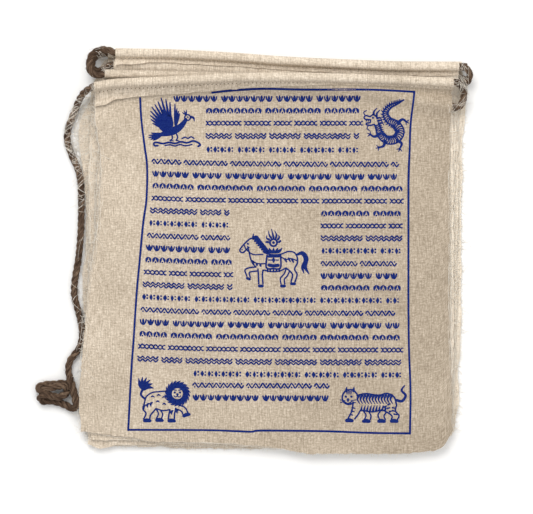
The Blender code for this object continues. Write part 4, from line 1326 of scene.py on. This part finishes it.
def brush(points, widths, step=BRUSH_STEP):
    """The two sides of one stroke of ink with round ends, in steps of the printing block."""
    points = np.array(points, float)
    widths = np.broadcast_to(np.asarray(widths, float), len(points))
    if len(points) > 2:
        line = curve_points(np.column_stack([points, widths]), step)
        points, widths = line[:, :2], line[:, 2]
    heads = np.gradient(points, axis=0)
    heads /= np.linalg.norm(heads, axis=1)[:, None]
    first, last = (heads[end] * widths[end] * ROUND_END["reach"] for end in (0, -1))
    points = np.concatenate([[points[0] - first], points, [points[-1] + last]])
    heads = np.concatenate([heads[:1], heads, heads[-1:]])
    widths = np.concatenate([widths[:1] * ROUND_END["width"], widths, widths[-1:] * ROUND_END["width"]])
    across = np.stack([-heads[:, 1], heads[:, 0]], axis=1) * widths[:, None] / 2
    return points + across, points - across


def add_stroke(sides, points, faces):
    """Lays one stroke on the flag."""
    left, right = (print_place(side) for side in sides)
    first = len(points)
    for a, b in zip(left.tolist(), right.tolist()):
        points.append(on_flag(*a))
        points.append(on_flag(*b))
    for k in range(len(left) - 1):
        a = first + 2 * k
        faces.append((a, a + 2, a + 3, a + 1))


def print_strokes(name, strokes):
    """One part of the print, from its strokes, as a thin film of ink on the weave."""
    points, faces = [], []
    for stroke in strokes:
        add_stroke(stroke, points, faces)
    piece = make_mesh(name, points, faces, ink.material, [(x, y, 0.0) for x, y, _ in points])
    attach(piece, "root")


def placed(strokes, at):
    """A motif's strokes, moved to their place on the block."""
    return [brush([(x + at[0], y + at[1]) for x, y in points], widths) for widths, points in strokes]


def scaly_body(body):
    """The outline of a long body, a row of scales across it and a crest along one side."""
    line = curve_points(body, 1.0)
    heads = np.gradient(line[:, :2], axis=0)
    heads /= np.linalg.norm(heads, axis=1)[:, None]
    sides = np.stack([-heads[:, 1], heads[:, 0]], axis=1)
    strokes = []
    for side in (-1, 1):
        edge = line[:, :2] + side * sides * (line[:, 2:3] / 2 - 0.5)
        strokes.append((1.6, edge[::3].tolist()))
    for k in range(4, len(line) - 2, SCALE_STEP):
        spot, half = line[k, :2], line[k, 2] / 2 - 0.6
        scale = [spot + sides[k] * half, spot - heads[k] * 1.2, spot - sides[k] * half]
        strokes.append((1.35, [tuple(point) for point in scale]))
        crest = spot + sides[k] * (half + 0.6)
        strokes.append(([1.7, 0.6], [tuple(crest), tuple(crest + sides[k] * 1.9 - heads[k] * 1.1)]))
    return strokes


def row_pieces(y):
    """The parts of a row of ornament that are clear of the frame and of the animals."""
    left_line = sorted((line_y, line_x) for line_x, line_y in FRAME_LINES[3])
    right_line = sorted((line_y, line_x) for line_x, line_y in FRAME_LINES[1])
    pieces = [(table_at(left_line, y) + ROW_MARGIN, table_at(right_line, y) - ROW_MARGIN)]
    for x0, y0, x1, y1 in KEPT_CLEAR:
        if y0 < y + ROW_HALF and y1 > y - ROW_HALF:
            pieces = [part for start, end in pieces
                      for part in ((start, min(end, x0)), (max(start, x1), end))]
    return [(start, end) for start, end in pieces if end - start > ROW_LEAST]


ink = Finish("blue_ink", INK, 0.8)
ink.shader.inputs["Specular IOR Level"].default_value = 0.08
ink_place = ink.place("place")
ink_slub_x = ink.grain(ink.stretched(ink_place, (0.05, 1.9, 1.0)), 1.0, 2.0, 0.6)
ink_slub_y = ink.grain(ink.stretched(ink_place, (1.9, 0.05, 1.0)), 1.0, 2.0, 0.6)
ink_wear = ink.grain(ink_place, 1.6, 2.0, 0.6) * 0.7 + ink_slub_x * 0.3 + ink_slub_y * 0.2
ink.feed("Base Color", ink.ramp(ink_wear, [(0.52, INK), (0.85, INK_WORN)]))
ink.feed("Normal", ink.relief(ink_slub_x + ink_slub_y, 0.5, 0.12))

frame_strokes = []
for line in FRAME_LINES:
    wobble = [FRAME_WIDTH * (1 + 0.12 * noise.noise(Vector((x * 0.2, y * 0.2, 3.0)))) for x, y in line]
    frame_strokes.append(brush(line, wobble, FRAME_STEP))
print_strokes("print_frame", frame_strokes)

print_strokes("print_horse", placed(HORSE, BEASTS["horse"]))

face_x, face_y = LION_FACE
lion_strokes = [*LION, (1.5, [(face_x + 6.2 * x, face_y + 6.2 * y) for x, y in CIRCLE])]
for lock in range(MANE_LOCKS):
    angle = lock * 2 * math.pi / MANE_LOCKS
    lion_strokes.append(([4.4, 3.0, 0.9], [
        (face_x + out * math.cos(angle + bend), face_y + out * math.sin(angle + bend))
        for out, bend in ((7.8, 0.0), (10.4, 0.0), (12.8, 0.22))
    ]))
for side in (-1, 1):
    lion_strokes.append((2.2, [(face_x + side * 2.4, face_y - 1.4), (face_x + side * 2.8, face_y - 1.0)]))
    lion_strokes.append((1.2, [(face_x + side * 1.2, face_y - 3.4), (face_x + side * 3.6, face_y - 3.8)]))
    lion_strokes.append((1.1, [(face_x, face_y + 2.4), (face_x + side * 2.0, face_y + 3.4),
                               (face_x + side * 3.4, face_y + 2.2)]))
lion_strokes.append(([2.8, 1.2], [(face_x, face_y + 0.6), (face_x, face_y + 2.0)]))
print_strokes("print_lion", placed(lion_strokes, BEASTS["lion"]))
print_strokes("print_tiger", placed(TIGER, BEASTS["tiger"]))

feather = random.Random(61)
bird_strokes = [*BIRD]
for wing in WINGS:
    root_x, root_y = wing["root"]
    for angle in np.linspace(*wing["angles"], wing["feathers"]):
        reach = table_at(wing["reach"], angle) * feather.uniform(0.93, 1.04)
        away = (math.cos(math.radians(angle)), -math.sin(math.radians(angle)))
        spots = [(root_x + share * reach * away[0], root_y + share * reach * away[1] + 3 * share * (1 - share))
                 for share in (0.15, 0.45, 0.75, 1.0)]
        width = wing["width"]
        bird_strokes.append(([0.6 * width, width, 0.9 * width, 0.45 * width], spots))
print_strokes("print_bird", placed(bird_strokes, BEASTS["bird"]))

dragon_strokes = scaly_body(DRAGON_BODY) + DRAGON
for leg in DRAGON_LEGS:
    dragon_strokes.append(([3.4, 2.6, 1.8], leg))
    foot = np.array(leg[-1])
    toes = foot - np.array(leg[-2])
    for turn in (-1.0, 0.0, 1.0):
        aim = math.atan2(toes[1], toes[0]) + turn
        tip = foot + np.array([math.cos(aim), math.sin(aim)]) * CLAW
        dragon_strokes.append(([1.6, 0.7], [tuple(foot), tuple(tip)]))
print_strokes("print_dragon", placed(dragon_strokes, BEASTS["dragon"]))


def row_sag(x, y):
    """How far the cloth was pulled down under the block, towards the right of a row."""
    share = min(max((y - SAG_FROM) / SAG_GROWTH, 0.0), 1.0) if y < SAG_FOOT else 0.5
    return ROW_SAG * share * (1 - math.exp(-(x - SAG_SIDE) / SAG_RUN))


hand = random.Random(23)
row_strokes = []
for row in range(ROWS):
    row_y = ROW_FIRST + ROW_STEP * row
    for part, (start, end) in enumerate(row_pieces(row_y)):
        width, motif = REPEATS[(row * 5 + part * 2) % len(REPEATS)]
        x = start
        left_in_run = hand.randint(*REPEATS_IN_RUN)
        while x < end - width + 2:
            y = row_y + row_sag(x, row_y)
            for thickness, stroke in motif:
                line = [(x + px + hand.uniform(-HAND_SHAKE, HAND_SHAKE),
                         y + py + hand.uniform(-HAND_SHAKE, HAND_SHAKE)) for px, py in stroke]
                row_strokes.append(brush(line, np.multiply(thickness, hand.uniform(*HAND_PRESS)),
                                         ROW_BRUSH_STEP))
            x += width
            left_in_run -= 1
            if left_in_run == 0:
                x += RUN_GAP
                left_in_run = hand.randint(*REPEATS_IN_RUN)
print_strokes("print_rows", row_strokes)
